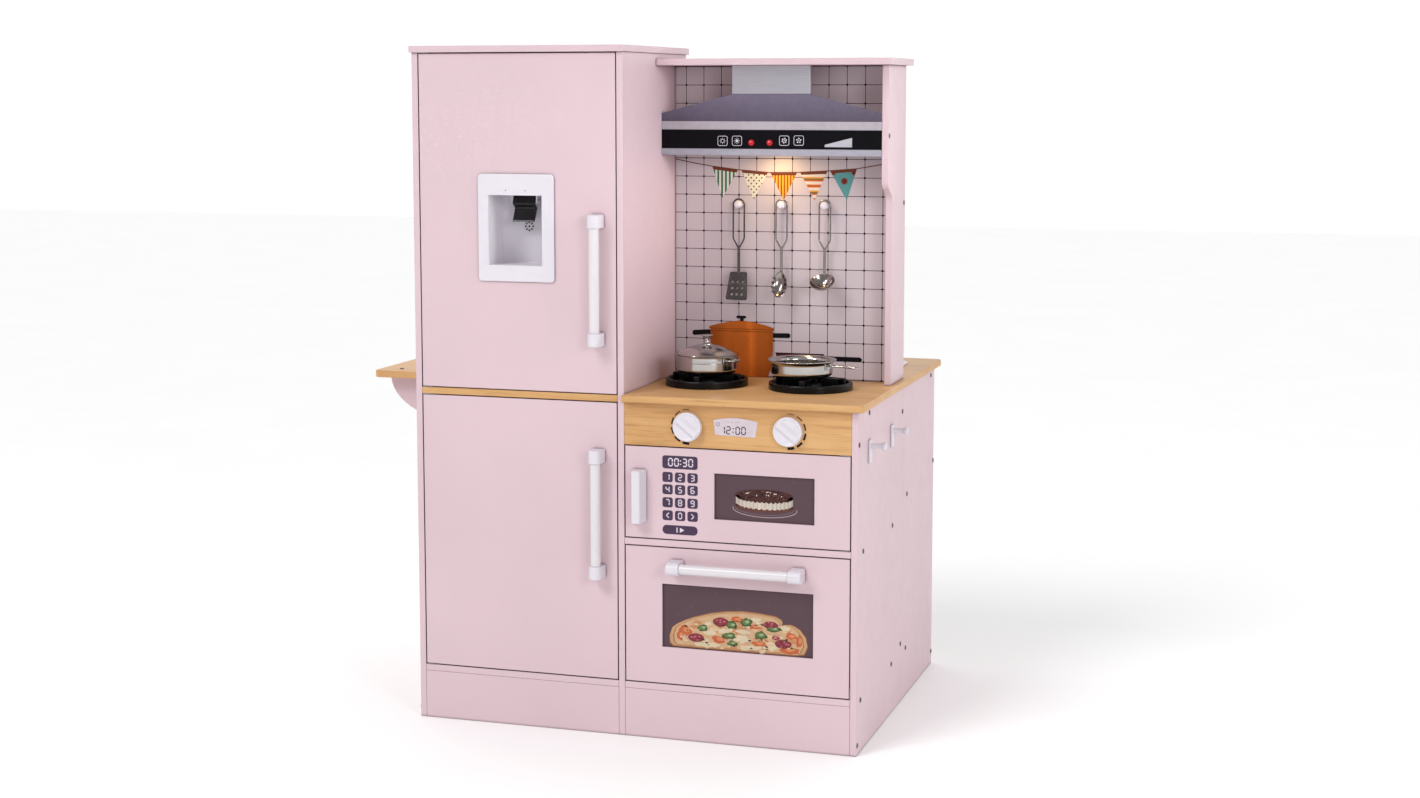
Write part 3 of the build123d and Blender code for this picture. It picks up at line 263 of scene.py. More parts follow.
PINK_PAINT = painted("pink_paint", rgb(212, 187, 194))
SPLASH_PAINT = painted("splash_film", rgb(197, 184, 190), 0.36, 0.46)
INNER_PAINT = painted("white_laminate", rgb(216, 211, 214))
OAK = wooden("oak_print", rgb(218, 175, 124), rgb(206, 160, 108), rgb(180, 133, 86))
WHITE = moulded("white_plastic", rgb(217, 212, 220), 0.36, 0.41)
PEARL = moulded("pearl_bar", rgb(218, 213, 217), 0.18, 0.26)
BLACK = moulded("black_plastic", rgb(7, 6, 8), 0.24, 0.34, 0.00001, shine=0.22)
DARK = moulded("dark_lever", rgb(22, 20, 24), 0.16, 0.26, 0.00003, shine=0.3)
TINTED = moulded("tinted_pane", rgb(86, 66, 73), 0.18, 0.28, shine=0.2)
PRINT = printed("printed_ink")
STEEL_TURNED = steel("steel_turned", rgb(186, 182, 180), 0.1, 0.2, rings=True)
STEEL_WIRE = steel("steel_wire", rgb(150, 143, 140), 0.12, 0.22)
STEEL_SHEET = steel("steel_sheet", rgb(92, 86, 86), 0.2, 0.32)
SCREW = steel("screw_zinc", rgb(92, 84, 86), 0.3, 0.45)
PLATE = steel("plate_zinc", rgb(160, 160, 166), 0.28, 0.4)
HOOD_SILVER = steel("hood_silver", rgb(196, 193, 202), 0.34, 0.46, stretch=(0.02, 1, 1))


# ---------------------------------------------------------------- pieces
def added(name, data):
    """A new object with its data, in the scene."""
    made = bpy.data.objects.new(name, data)
    bpy.context.scene.collection.objects.link(made)
    return made


def piece(name, bm, body, material, replaces=(), place=None, sharp=35.0):
    """An object from a bmesh, riding on a body. place is its matrix or its origin."""
    mesh = bpy.data.meshes.new(name)
    bm.to_mesh(mesh)
    bm.free()
    mesh.materials.append(material)
    for face in mesh.polygons:
        face.use_smooth = True
    mesh.set_sharp_from_angle(angle=math.radians(sharp))
    made = added(name, mesh)
    if place is not None:
        made.matrix_world = place if isinstance(place, Matrix) else Matrix.Translation(place)
    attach(made, body)
    if replaces:
        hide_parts(*replaces)
    if material is not PRINT:
        made.modifiers.new("shade", "WEIGHTED_NORMAL").keep_sharp = True
    return made


def skin(bm, rings):
    """Joins rings of vertices with faces, each to the next. A ring of one vertex is a tip."""
    for low, high in zip(rings, rings[1:]):
        steps = max(len(low), len(high))
        for k in range(steps):
            j = (k + 1) % steps
            corners = (low[k % len(low)], low[j % len(low)], high[j % len(high)], high[k % len(high)])
            bm.faces.new(list(dict.fromkeys(corners)))


def prism(bm, front, back):
    """Closes two equal outlines of vertices into a prism, and gives its faces."""
    faces = [bm.faces.new(front), bm.faces.new(back[::-1])]
    for i in range(len(front)):
        j = (i + 1) % len(front)
        faces.append(bm.faces.new((front[j], front[i], back[i], back[j])))
    return faces


def closed(bm):
    """The bmesh with all its normals outward."""
    bmesh.ops.recalc_face_normals(bm, faces=bm.faces)
    return bm


def lathe(profile, steps):
    """A solid of revolution round Z from (radius, height) points in millimetres."""
    bm = bmesh.new()
    rings = []
    for r, z in profile:
        angles = [2 * math.pi * i / steps for i in range(steps if r else 1)]
        rings.append([bm.verts.new((r * MM * math.cos(a), r * MM * math.sin(a), z * MM)) for a in angles])
    skin(bm, rings)
    return closed(bm)


def bent(points, radii, steps=8):
    """A polyline whose inner corners are rounded to the radii."""
    points = [Vector(p) for p in points]
    path = [points[0]]
    for before, corner, after, radius in zip(points, points[1:], points[2:], radii):
        a, b = (before - corner).normalized(), (after - corner).normalized()
        half = a.angle(b) / 2
        back = radius / math.tan(half)
        centre = corner + (a + b).normalized() * (radius / math.sin(half))
        start, end = corner + a * back - centre, corner + b * back - centre
        sweep = start.angle(end)
        for i in range(steps + 1):
            t = i / steps
            spoke = start * math.sin((1 - t) * sweep) + end * math.sin(t * sweep)
            path.append(centre + spoke / math.sin(sweep))
    path.append(points[-1])
    return path


def tube(points, radius, sides=16):
    """A round bar along points in millimetres, with one radius or a list of one for each point."""
    bm = bmesh.new()
    points = [Vector(p) for p in points]
    ends = [points[0], *points, points[-1]]
    tangents = [(after - before).normalized() for before, after in zip(ends, ends[2:])]
    radii = radius if isinstance(radius, list) else [radius] * len(points)
    side = tangents[0].orthogonal().normalized()
    rings = []
    for centre, tangent, r in zip(points, tangents, radii):
        side = (side - tangent * side.dot(tangent)).normalized()
        across = tangent.cross(side)
        ring = []
        for k in range(sides):
            a = 2 * math.pi * k / sides
            ring.append(bm.verts.new((centre + side * (r * math.cos(a)) + across * (r * math.sin(a))) * MM))
        rings.append(ring)
    skin(bm, rings)
    bm.faces.new(rings[0][::-1])
    bm.faces.new(rings[-1])
    return closed(bm)


def block(size, centre, bevel, segments=3):
    """A box in millimetres with rounded edges."""
    bm = bmesh.new()
    bmesh.ops.create_cube(bm, size=1.0, matrix=Matrix.Diagonal((*size, 1)))
    bmesh.ops.bevel(bm, geom=bm.edges[:], offset=bevel, segments=segments, profile=0.5, affect="EDGES")
    return moved(bm, Matrix.Scale(MM, 4) @ Matrix.Translation(centre))


def join(bm, other):
    """Adds another bmesh's faces to bm."""
    mesh = bpy.data.meshes.new("join")
    other.to_mesh(mesh)
    other.free()
    bm.from_mesh(mesh)
    bpy.data.meshes.remove(mesh)
    return bm


def moved(bm, matrix):
    bmesh.ops.transform(bm, matrix=matrix, verts=bm.verts)
    return bm


def sheet_shape(outer, holes, thickness, bevel):
    """A flat plate in XY with holes, from outlines in millimetres."""
    curve = bpy.data.curves.new("outline", "CURVE")
    curve.dimensions = "2D"
    curve.fill_mode = "BOTH"
    curve.extrude = (thickness / 2 - bevel) * MM
    curve.bevel_depth = bevel * MM
    curve.bevel_resolution = 2
    curve.offset = -bevel * MM
    for outline in [outer, *holes]:
        spline = curve.splines.new("POLY")
        spline.points.add(len(outline) - 1)
        for point, (u, v) in zip(spline.points, outline):
            point.co = (u * MM, v * MM, 0, 1)
        spline.use_cyclic_u = True
    holder = added("outline", curve)
    mesh = bpy.data.meshes.new_from_object(holder.evaluated_get(bpy.context.evaluated_depsgraph_get()))
    bpy.data.objects.remove(holder)
    bm = bmesh.new()
    bm.from_mesh(mesh)
    bpy.data.meshes.remove(mesh)
    bmesh.ops.remove_doubles(bm, verts=bm.verts, dist=1e-6)
    return bm


def arc(cu, cv, r, start, end, steps=6, rise=None):
    """Points of an arc with its angles in degrees. rise is the upright radius where it differs."""
    angles = [math.radians(start + (end - start) * i / steps) for i in range(steps + 1)]
    return [(cu + r * math.cos(a), cv + (rise or r) * math.sin(a)) for a in angles]


def circle(u, v, ru, rv=None, steps=32, start=0.0, wobble=0.0):
    """A circle's or an ellipse's points. wobble is the share of the radius by which they stray."""
    rv = ru if rv is None else rv
    points = []
    for i in range(steps):
        a = start + 2 * math.pi * i / steps
        k = 1 + wobble * (dice.random() - 0.5)
        points.append((u + ru * k * math.cos(a), v + rv * k * math.sin(a)))
    return points


def rect(u0, v0, u1, v1):
    return [(u0, v0), (u1, v0), (u1, v1), (u0, v1)]


def rounded(u0, v0, u1, v1, r):
    """A rectangle with rounded corners."""
    points = []
    for cu, cv, start in ((u1 - r, v0 + r, -90), (u1 - r, v1 - r, 0), (u0 + r, v1 - r, 90),
                          (u0 + r, v0 + r, 180)):
        points += arc(cu, cv, r, start, start + 90, 5)
    return points


def clip(shape, window):
    """The part of a shape inside a convex window that runs anticlockwise."""
    for (x0, y0), (x1, y1) in zip(window, window[1:] + window[:1]):
        def inside(p):
            return (x1 - x0) * (p[1] - y0) - (y1 - y0) * (p[0] - x0)
        kept = []
        for p, q in zip(shape, shape[1:] + shape[:1]):
            a, b = inside(p), inside(q)
            if a >= 0:
                kept.append(p)
            if a * b < 0:
                t = a / (a - b)
                kept.append((p[0] + (q[0] - p[0]) * t, p[1] + (q[1] - p[1]) * t))
        shape = kept
        if len(shape) < 3:
            return []
    return shape


FILM = 0.07  # thickness of each printed shape


class Print:
    """Flat printed shapes on a plane of depth d, gathered in one mesh with their inks.

    A shape with a larger lift covers those with a smaller one.
    """

    def __init__(self, d, window=None):
        self.d = d
        self.window = window
        self.bm = bmesh.new()
        self.ink = self.bm.loops.layers.float_color.new("ink")

    def add(self, shape, colour, lift=0.1):
        """A thin prism over a shape. lift is how far its face stands off the plane."""
        if self.window:
            shape = clip(shape, self.window)
        if len(shape) < 3:
            return
        front = [self.bm.verts.new(at(u, self.d - lift, v)) for u, v in shape]
        back = [self.bm.verts.new(at(u, self.d - lift + FILM, v)) for u, v in shape]
        for face in prism(self.bm, front, back):
            for loop in face.loops:
                loop[self.ink] = colour(*self.flat(loop.vert)) if callable(colour) else colour

    def flat(self, vertex):
        """A vertex's s and z, in millimetres."""
        place = (vertex.co - ORIGIN) / MM
        return place.x, place.z

    def strips(self, shape, colour, lift, count):
        """A shape in upright strips, so that an ink that varies across it shows."""
        low, high = min(u for u, v in shape), max(u for u, v in shape)
        floor, top = min(v for u, v in shape) - 1, max(v for u, v in shape) + 1
        for i in range(count):
            u0, u1 = low + (high - low) * i / count, low + (high - low) * (i + 1) / count
            self.add(clip(shape, rect(u0, floor, u1, top)), colour, lift)

    def line(self, points, width, colour, lift=0.1):
        """A stroke of even width along points."""
        half = width / 2
        for (u0, v0), (u1, v1) in zip(points, points[1:]):
            length = math.hypot(u1 - u0, v1 - v0)
            nu, nv = -(v1 - v0) / length * half, (u1 - u0) / length * half
            corners = [(u0 + nu, v0 + nv), (u0 - nu, v0 - nv), (u1 - nu, v1 - nv), (u1 + nu, v1 + nv)]
            self.add(corners, colour, lift)

    def ring(self, shape, width, colour, lift=0.1):
        self.line(shape + shape[:1], width, colour, lift)

    def digit(self, sign, u, v, w, h, t, colour):
        """A seven-segment digit whose lower left corner is at u, v."""
        m = v + h / 2
        segments = {
            "a": ((u, v + h), (u + w, v + h)), "b": ((u + w, v + h), (u + w, m)),
            "c": ((u + w, m), (u + w, v)), "d": ((u, v), (u + w, v)),
            "e": ((u, v), (u, m)), "f": ((u, m), (u, v + h)), "g": ((u, m), (u + w, m)),
        }
        drawn = {"0": "abcdef", "1": "bc", "2": "abged", "3": "abgcd", "4": "fgbc", "5": "afgcd",
                 "6": "afgedc", "7": "abc", "8": "abcdefg", "9": "abcdfg"}[sign]
        for key in drawn:
            (u0, v0), (u1, v1) = segments[key]
            length = math.hypot(u1 - u0, v1 - v0)
            du, dv = (u1 - u0) / length, (v1 - v0) / length
            tip, side = t * 0.12, t / 2
            shape = []
            for k, q in ((tip, 0), (tip + side, side), (length - tip - side, side), (length - tip, 0),
                         (length - tip - side, -side), (tip + side, -side)):
                shape.append((u0 + du * k - dv * q, v0 + dv * k + du * q))
            self.add(shape, colour, 0.14)

    def done(self, name, body):
        return piece(name, closed(self.bm), body, PRINT, sharp=30)


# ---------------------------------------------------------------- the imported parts
def finish_part(node, material, bevel):
    """Dresses a CAD node: its material, and rounded edges as a modifier."""
    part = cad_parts[node]
    part.data.materials.clear()
    part.data.materials.append(material)
    weld = part.modifiers.new("weld", "WELD")
    weld.merge_threshold = 0.00001
    flats = part.modifiers.new("flats", "DECIMATE")
    flats.decimate_type = "DISSOLVE"
    flats.angle_limit = math.radians(0.5)
    edge = part.modifiers.new("edge", "BEVEL")
    edge.width = bevel * MM
    edge.segments = 2
    edge.limit_method = "ANGLE"
    edge.angle_limit = math.radians(35)
    edge.use_clamp_overlap = False
    edge.loop_slide = False  # even widths where a face's inner edges meet its outline
    part.modifiers.new("shade", "WEIGHTED_NORMAL")


FINISHES = {
    PINK_PAINT: (
        "fridge_side_left", "fridge_side_right", "fridge_top", "fridge_floor", "stove_side_right",
        "stove_floor", "stove_shelf", "kick_boards", "hood_top", "hood_post", "fridge_door", "freezer_door",
        "microwave_door", "oven_door", "side_table_brackets", "rear_side_panels", "rear_floor",
        "rear_shelves", "rear_divider",
    ),
    OAK: ("control_panel", "counter_front", "counter_rear", "fridge_middle_shelf", "side_table"),
    INNER_PAINT: ("fridge_back_panel", "stove_back_panel", "inner_shelves", "rails"),
    SPLASH_PAINT: ("backsplash",),
    WHITE: (
        "dispenser_housing", "fridge_handle_ends", "freezer_handle_ends", "oven_handle_ends",
        "microwave_handle", "magnet_catches", "side_hooks", "sink_basin", "utensil_pegs", "hood_lamp",
    ),
    PEARL: ("fridge_handle_bar", "freezer_handle_bar", "oven_handle_bar", "faucet_base", "faucet_spout"),
    TINTED: ("microwave_window", "oven_window"),
    HOOD_SILVER: ("hood_front",),
    STEEL_WIRE: ("dispenser_pin",),
    SCREW: ("cabinet_screws",),
    PLATE: ("hinge_plates",),
}
EDGE = 0.8  # rounding of most edges, in millimetres
FINE_EDGES = {
    "cabinet_screws": 0.25, "hinge_plates": 0.15, "dispenser_pin": 0.3, "utensil_pegs": 0.5,
    "microwave_window": 0.2, "oven_window": 0.2,
}
for material, nodes in FINISHES.items():
    for node in nodes:
        finish_part(node, material, FINE_EDGES.get(node, EDGE))


# ---------------------------------------------------------------- burners, pot, lid and pan
def middle(node):
    low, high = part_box(node)
    return (low + high) / 2


RING_RADIUS = 63.5
burner_low, burner_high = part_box("burners")
burner_d = (burner_low.y + burner_high.y) / 2
BURNER_RING = [(0, 0), (62.7, 0), (63.3, 0.4), (63.5, 1.2), (63.5, 9.2), (63.1, 10.5), (62.1, 11.3),
               (60.8, 11.5), (59.2, 11.3), (58.2, 10.5), (57.8, 9.2), (57.2, 6), (56, 5.2), (46, 5.2),
               (45, 5.6), (44.4, 7.4), (43, 8), (37, 8), (35.8, 7.4), (35.2, 5.6), (34, 5.2), (22, 5.2),
               (20.6, 5.8), (19.4, 9.6), (17.8, 11.4), (14, 12), (0, 12)]
TRIVET = (((38, 9, 12.2), (33, 0, 11.2)), ((11, 9, 14.3), (48.3, 0, 11.25)), ((9, 7, 13), (15, 0, 9.5)))
burner_xs = (burner_low.x + RING_RADIUS * MM, burner_high.x - RING_RADIUS * MM)
for name, x, gone in zip(("burner_left", "burner_right"), burner_xs, (["burners"], ())):
    bm = lathe(BURNER_RING, 120)
    for turn in range(4):
        for size, centre in TRIVET:
            join(bm, moved(block(size, centre, 1.3), Matrix.Rotation(math.pi / 2 * turn, 4, "Z")))
    for k in range(12):
        knot = block((5, 3, 3.4), (40, 0, 7.2), 0.9, 2)
        join(bm, moved(knot, Matrix.Rotation(math.pi / 6 * (k + 0.5), 4, "Z")))
    piece(name, bm, "cabinet", BLACK, gone, (x, burner_d, burner_low.z))

ROUND = 128  # steps round the pot, its lid and the pan
FOOT = [(0, 0.5), (30, 0.5), (31.5, 0), *arc(39, 8, 8, -90, 0, 8)]
INSIDE = [*arc(39, 8, 6.4, 0, -90, 8), (31, 1.6), (0, 1.6)]
pot_place = middle("pot_lid")
pot_place.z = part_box("pot")[0].z
pot_bm = lathe([*FOOT, (47, 17), (47.2, 17.3), (47.2, 18), (47, 18.3), (47, 25.2), (47.5, 26.4),
                *arc(47.7, 27.2, 0.8, -50, 170, 6), (45.4, 25.4), *INSIDE], ROUND)
for turn in (-25, 155):
    loop = bent([(45, -13, 22), (60.4, -10.5, 22.6), (60.4, 10.5, 22.6), (45, 13, 22)], (6, 6))
    handle = tube(loop, 1.55, 18)
    for v in (-13, 13):
        join(handle, block((1.6, 6.5, 7.5), (46.9, v * 0.93, 21.6), 0.7))
    join(pot_bm, moved(handle, Matrix.Rotation(math.radians(turn), 4, "Z")))
piece("pot_turned", pot_bm, "pot", STEEL_TURNED, ["pot"], pot_place)

lid_place = middle("pot_lid")
lid_place.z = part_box("pot_lid")[0].z
SHOULDER, RISE = 45.0, 15.0
DOME = (SHOULDER ** 2 + (RISE - 1.4) ** 2) / (2 * (RISE - 1.4))
dome_radii = [SHOULDER - SHOULDER * i / 20 for i in range(19)]
top = [(r, RISE - DOME + math.sqrt(DOME ** 2 - r ** 2)) for r in dome_radii]
under = [(r, h - 1.3) for r, h in top[::-1] if r < 44]
lid_bm = lathe([(0, RISE - 1.3), *under, (44, 0), (47.4, 0), *arc(47.3, 0.7, 0.7, -80, 80, 4),
                (45.6, 1.4), *top, (8.2, RISE - 0.8), (7.8, RISE + 0.7), (6.4, RISE + 1.5), (4.6, RISE + 2.2),
                (3.6, RISE + 4), (3.4, RISE + 7), (4.0, RISE + 9.2), (6.2, RISE + 11), (8.7, RISE + 12.6),
                *arc(8.8, RISE + 13.6, 0.7, -40, 130, 5), (5.6, RISE + 14.6), (0, RISE + 14.9)], ROUND)
piece("pot_lid_turned", lid_bm, "pot_lid", STEEL_TURNED, ["pot_lid"], lid_place)

pan_low, pan_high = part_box("pan")
RIM = 52.5
pan_bm = lathe([*FOOT, (47, 18.5), (47.4, 20.4), (48.6, 22.2), (50.6, 23.8),
                *arc(51.7, 25.1, 0.8, -70, 130, 6), (49.6, 24.8), (47.4, 23), (46, 21.2), (45.4, 19),
                *INSIDE], ROUND)
grip = [(45.5, -5.4, 18.4), (54, -4.6, 19.4), (74, -2.4, 19.2), (84, -2.4, 18.8), (90, -4.3, 18.6),
        (98.6, -4.2, 18.6)]
grip += [(x, -y, z) for x, y, z in grip[::-1]]
handle = tube(bent(grip, (10, 20, 12, 8, 4, 4, 8, 12, 20, 10), 5), 1.2)
join(handle, block((1.5, 17, 10), (46.9, 0, 17.8), 0.7))
for v in (-6, 6):
    join(handle, moved(lathe([(0, 0), (2.1, 0), (1.9, 0.8), (1.1, 1.3), (0, 1.4)], 20),
                       Matrix.Translation((0.0475, v * MM, 0.0162)) @ Matrix.Rotation(math.pi / 2, 4, "Y")))
join(pan_bm, moved(handle, Matrix.Rotation(math.radians(-18), 4, "Z")))
piece("pan_turned", pan_bm, "pan", STEEL_TURNED, ["pan"],
      (pan_low.x + RIM * MM, pan_high.y - RIM * MM, pan_low.z))

# ---------------------------------------------------------------- utensils on their pegs
HANG_D, WAIST, STEM_END = 232.0, 723.0, 684.0
LEAN = 18  # degrees by which the flat heads lean forward


def utensil(node, s, head, material=STEEL_WIRE):
    """A hanging wire handle with a head, whose mesh is in metres about the stem's end."""
    wire = [(-0.9, HANG_D, WAIST), (-8.9, HANG_D, 737), (-8.9, HANG_D, 798.6),
            (8.9, HANG_D, 798.6), (8.9, HANG_D, 737), (0.9, HANG_D, WAIST)]
    bm = tube(bent(wire, (12, 8.88, 8.88, 12), 10), 1.3)
    join(bm, block((4.4, 2.3, WAIST - STEM_END + 5), (0, HANG_D, (WAIST + STEM_END) / 2 + 1), 0.9))
    for x in (-0.9, 0.9):
        join(bm, tube([(x, HANG_D, WAIST + 1), (x, HANG_D, WAIST - 8)], 1.2, 12))
    join(bm, moved(head, Matrix.Translation((0, HANG_D * MM, (STEM_END + 1) * MM))))
    piece(node + "_steel", bm, node, material, [node], at(s, 0, 0), sharp=40)


def leaning(bm):
    """Turns a flat head, drawn in XY with Y up the handle, to hang and lean forward."""
    return moved(bm, Matrix.Rotation(math.radians(90 - LEAN), 4, "X"))


blade = []
for cu, cv, start in ((11, -3, 0), (-11, -3, 90), (-14.1, -41.8, 180), (14.1, -41.8, 270)):
    blade += arc(cu, cv, 3.1, start, start + 90)
holes = [circle(8 * i, -26 + 10 * j, 2.0, steps=20)[::-1] for i in (-1, 0, 1) for j in (-1, 0, 1)]
utensil("spatula", 445.0, leaning(sheet_shape(blade, holes, 1.5, 0.3)), STEEL_SHEET)


def bowl(half_width, half_length, depth, taper=0.0):
    """An open bowl in XY whose mouth faces Z, its far end towards -Y, as a closed shell."""
    rows, steps, thickness = 16, 64, 1.2
    bm = bmesh.new()

    def side(grow):
        rings = []
        for i in range(rows + 1):
            t = i / rows
            ring = []
            for k in range(steps if i else 1):
                a = 2 * math.pi * k / steps
                narrow = 1 - taper * (0.5 + 0.5 * math.sin(a)) ** 2
                u = (half_width + grow) * t * math.cos(a) * narrow
                v = (half_length + grow) * t * math.sin(a)
                ring.append(bm.verts.new(Vector((u, v, -(depth + grow) * (1 - t ** 2.2))) * MM))
            rings.append(ring)
        return rings

    inner, outer = side(0), side(thickness)
    for rings in (inner, outer, (inner[-1], outer[-1])):
        skin(bm, rings)
    return closed(bm)


server = bowl(11.6, 19.2, 5.6, taper=0.3)
for side in (-1, 1):
    for j in range(5):
        v = 9 - 7.2 * j
        reach = 11.9 * math.sqrt(max(0.05, 1 - (v / 20) ** 2)) * (1 - 0.3 * (0.5 + 0.5 * v / 20) ** 2)
        prong = [(reach - 1.4, -0.8), (reach + 0.2, 1.4), (reach + 0.4, 4.2), (reach - 0.4, 6.4)]
        path = bent([(side * u, v, z) for u, z in prong], (1.5, 2), 4)
        join(server, tube(path, [1.5] * (len(path) - 1) + [0.9], 10))
moved(server, Matrix.Translation((0, -19 * MM, 5 * MM)))
utensil("spoon", 514.0, leaning(server))

cup = bowl(18.8, 18.8, 12.2)
moved(cup, Matrix.Translation((0, -18.9 * MM, 0)))
moved(cup, Matrix.Rotation(math.radians(32), 4, "X"))
utensil("ladle", 583.0, cup)


# ---------------------------------------------------------------- knobs and the dispenser's lever
def ease(x):
    """Rises from 0 to 1 with level ends."""
    x = max(0.0, min(1.0, x))
    return x * x * (3 - 2 * x)


def knob_face(r, a):
    """Height of a knob's face in millimetres: a dished disc with a bar across it and a round rim."""
    u, v = r * math.cos(a), r * math.sin(a)
    dish = 7.4 + 1.5 * ease((r - 16.5) / 3.0)
    bar = ease((9.4 - abs(v)) / 7.0) * ease((22.5 - abs(u)) / 4.5)
    rim = 1.6 * (1 - math.sqrt(max(0.0, 1 - (max(0.0, r - 20.25) / 1.5) ** 2)))
    return dish + (13.2 - 0.004 * u * u - dish) * bar - rim


KNOB_STEPS, KNOB_TURN = 144, math.radians(-38)


def knob(body):
    """A knob on the front plane, its bar turned from level."""
    bm = bmesh.new()

    def ring(r, back=None):
        points = []
        for k in range(KNOB_STEPS if r else 1):
            a = 2 * math.pi * k / KNOB_STEPS
            height = knob_face(r, a) if back is None else back
            points.append(Vector((r * math.cos(a + KNOB_TURN), r * math.sin(a + KNOB_TURN), height)))
        return [bm.verts.new(point * MM) for point in points]

    rings = [ring(0.75 * i) for i in range(28)] + [ring(r) for r in (21.1, 21.5, 21.75)]
    rings += [ring(21.75, 1.4), ring(21.4, 0.9), ring(0, 0.9)]
    skin(bm, rings)
    low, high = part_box(body)
    place = Matrix.Translation(((low.x + high.x) / 2, ORIGIN.y, (low.z + high.z) / 2))
    facing = Matrix.Rotation(math.pi / 2, 4, "X")
    piece(body + "_moulded", closed(bm), body, WHITE, [body], place @ facing, sharp=60)


for body in ("knob_left", "knob_right"):
    knob(body)

LEVER_S = (148.95, 184.55)
LEVER_FRONT = ((38, 809), (34, 803.5), (31.4, 797.5), (33.5, 794.5), (38.2, 792), (39.6, 789), (37.6, 784),
               (33.8, 777), (30.6, 772), (29.8, 769.8))
LEVER_BACK = ((32.4, 770.2), (36.6, 777.5), (40.6, 785), (42.4, 790), (40.4, 794), (35.6, 797.5),
              (38.2, 803.5), (41.6, 808.8))
front = bent([(d, z, 0) for d, z in LEVER_FRONT], [3] * (len(LEVER_FRONT) - 2), 3)
outline = [(p.x, p.y) for p in front] + list(LEVER_BACK)
lever_bm = bmesh.new()
prism(lever_bm, *[[lever_bm.verts.new(at(s, d, z)) for d, z in outline] for s in LEVER_S])
lever = piece("lever_moulded", closed(lever_bm), "dispenser_lever", DARK,
              ["dispenser_lever"])
rounding = lever.modifiers.new("edge", "BEVEL")
rounding.width = 0.0007
rounding.segments = 3
rounding.limit_method = "ANGLE"
rounding.angle_limit = math.radians(50)

# ---------------------------------------------------------------- printed film on the backsplash
SPLASH_D, LEFT, RIGHT, FOOT_Z, HEAD_Z = 243.0, 338, 683.5, 519.6, 1004
TILE_INK = rgb(46, 24, 34)
tiles = Print(SPLASH_D, rect(LEFT, FOOT_Z, RIGHT, HEAD_Z))
columns = [442.1 + 28.7 * k for k in range(-3, 9)]
rows = [634.3 + 28.4 * k for k in range(-4, 14)]
for s in columns:
    tiles.line([(s, FOOT_Z), (s, HEAD_Z)], 0.9, TILE_INK)
for z in rows:
    tiles.line([(LEFT, z), (RIGHT, z)], 0.9, TILE_INK)
for s in columns:
    for z in rows:
        tiles.add(circle(s, z, 1.7, steps=12), TILE_INK, 0.12)
tiles.done("tile_print", "cabinet")

STRING = [(338.4, 859.6), (368.3, 853.7), (398.7, 848.9), (441, 843.8), (491, 840), (537.6, 840.7),
          (586.6, 843.6), (630.5, 847.2), (668, 853.9), (683.4, 857.5)]
BROWN = rgb(112, 62, 46)
bunting = Print(SPLASH_D)


def pennant(left, right, tip, ground, pattern):
    """A triangular flag. pattern(u0, u1, v0, v1) draws over its box and is clipped to it."""
    bunting.window = [right, left, tip]
    bunting.add([right, left, tip], ground, 0.16)
    pattern(left[0], right[0], tip[1], max(left[1], right[1]))
    bunting.add([right, left, (left[0], left[1] - 4.2), (right[0], right[1] - 4.2)], BROWN, 0.24)
    bunting.window = None


def upright(ink, pitch, share):
    """A pattern of upright stripes, each a share of the pitch wide."""
    def pattern(u0, u1, v0, v1):
        for i in range(int((u1 - u0) / pitch) + 1):
            u, half = u0 + pitch * (i + 0.5), pitch * share / 2
            bunting.add(rect(u - half, v0, u + half, v1), ink, 0.2)
    return pattern


def level(inks, pitch):
    """A pattern of level stripes, from the top."""
    def pattern(u0, u1, v0, v1):
        for i in range(int((v1 - v0) / pitch) + 1):
            bunting.add(rect(u0, v1 - pitch * (i + 1), u1, v1 - pitch * i), inks[i % len(inks)], 0.2)
    return pattern


def spots(u0, u1, v0, v1):
    for i in range(6):
        for j in range(9):
            u, v = u0 + 3 + 8.6 * i + (4.3 if j % 2 else 0), v1 - 7.2 - 4.5 * j
            bunting.add(circle(u, v, 1.35, steps=12), rgb(84, 66, 62), 0.2)


def discs(u0, u1, v0, v1):
    for u, v, radius in (((u0 + u1) / 2 + 1.5, v1 - 19, 5.2), (u0 + 5, v1 - 5.5, 4.6),
                         (u1 - 4, v1 - 5.5, 4.6)):
        bunting.add(circle(u, v, radius, steps=24), rgb(126, 66, 52), 0.2)
        bunting.add(circle(u, v, radius * 0.55, steps=20), rgb(90, 50, 50), 0.22)


RUST, SAND = rgb(198, 100, 44), rgb(232, 216, 206)
BANDS = [RUST, RUST, SAND, SAND, rgb(224, 158, 62), rgb(116, 104, 70), rgb(204, 104, 60), SAND, SAND]
pennant((398.7, 848.4), (440.1, 843.3), (415, 799.5), rgb(226, 226, 214),
        upright(rgb(72, 118, 98), 6.3, 0.5))
pennant((446, 843.3), (488.9, 840.3), (465.5, 796.7), rgb(226, 220, 204), spots)
pennant((493, 839.8), (535.5, 840.3), (514.3, 797.6), rgb(238, 172, 66),
        upright(rgb(160, 78, 24), 5.0, 0.46))
pennant((540.5, 841), (583.8, 843), (563.6, 797.9), rgb(235, 205, 180), level(BANDS, 2.3))
pennant((588.1, 843.6), (630.5, 847), (614.8, 798.8), rgb(95, 155, 158), discs)
bunting.line(STRING, 1.3, BROWN, 0.28)
bunting.done("bunting_print", "cabinet")

ORANGE, INK_BLACK = rgb(186, 96, 34), rgb(22, 18, 24)


def shaded(u0, u1, base, lights):
    """An ink that is darker at both rims, u0 and u1, with a light streak at each given place."""
    def ink(u, v):
        t = (u - u0) / (u1 - u0)
        k = 0.72 + 0.5 * math.sin(math.pi * max(0.0, min(1.0, t)))
        for place, amount in lights:
            k += amount * math.exp(-((u - place) / 5.0) ** 2)
        return scaled(base, k)
    return ink


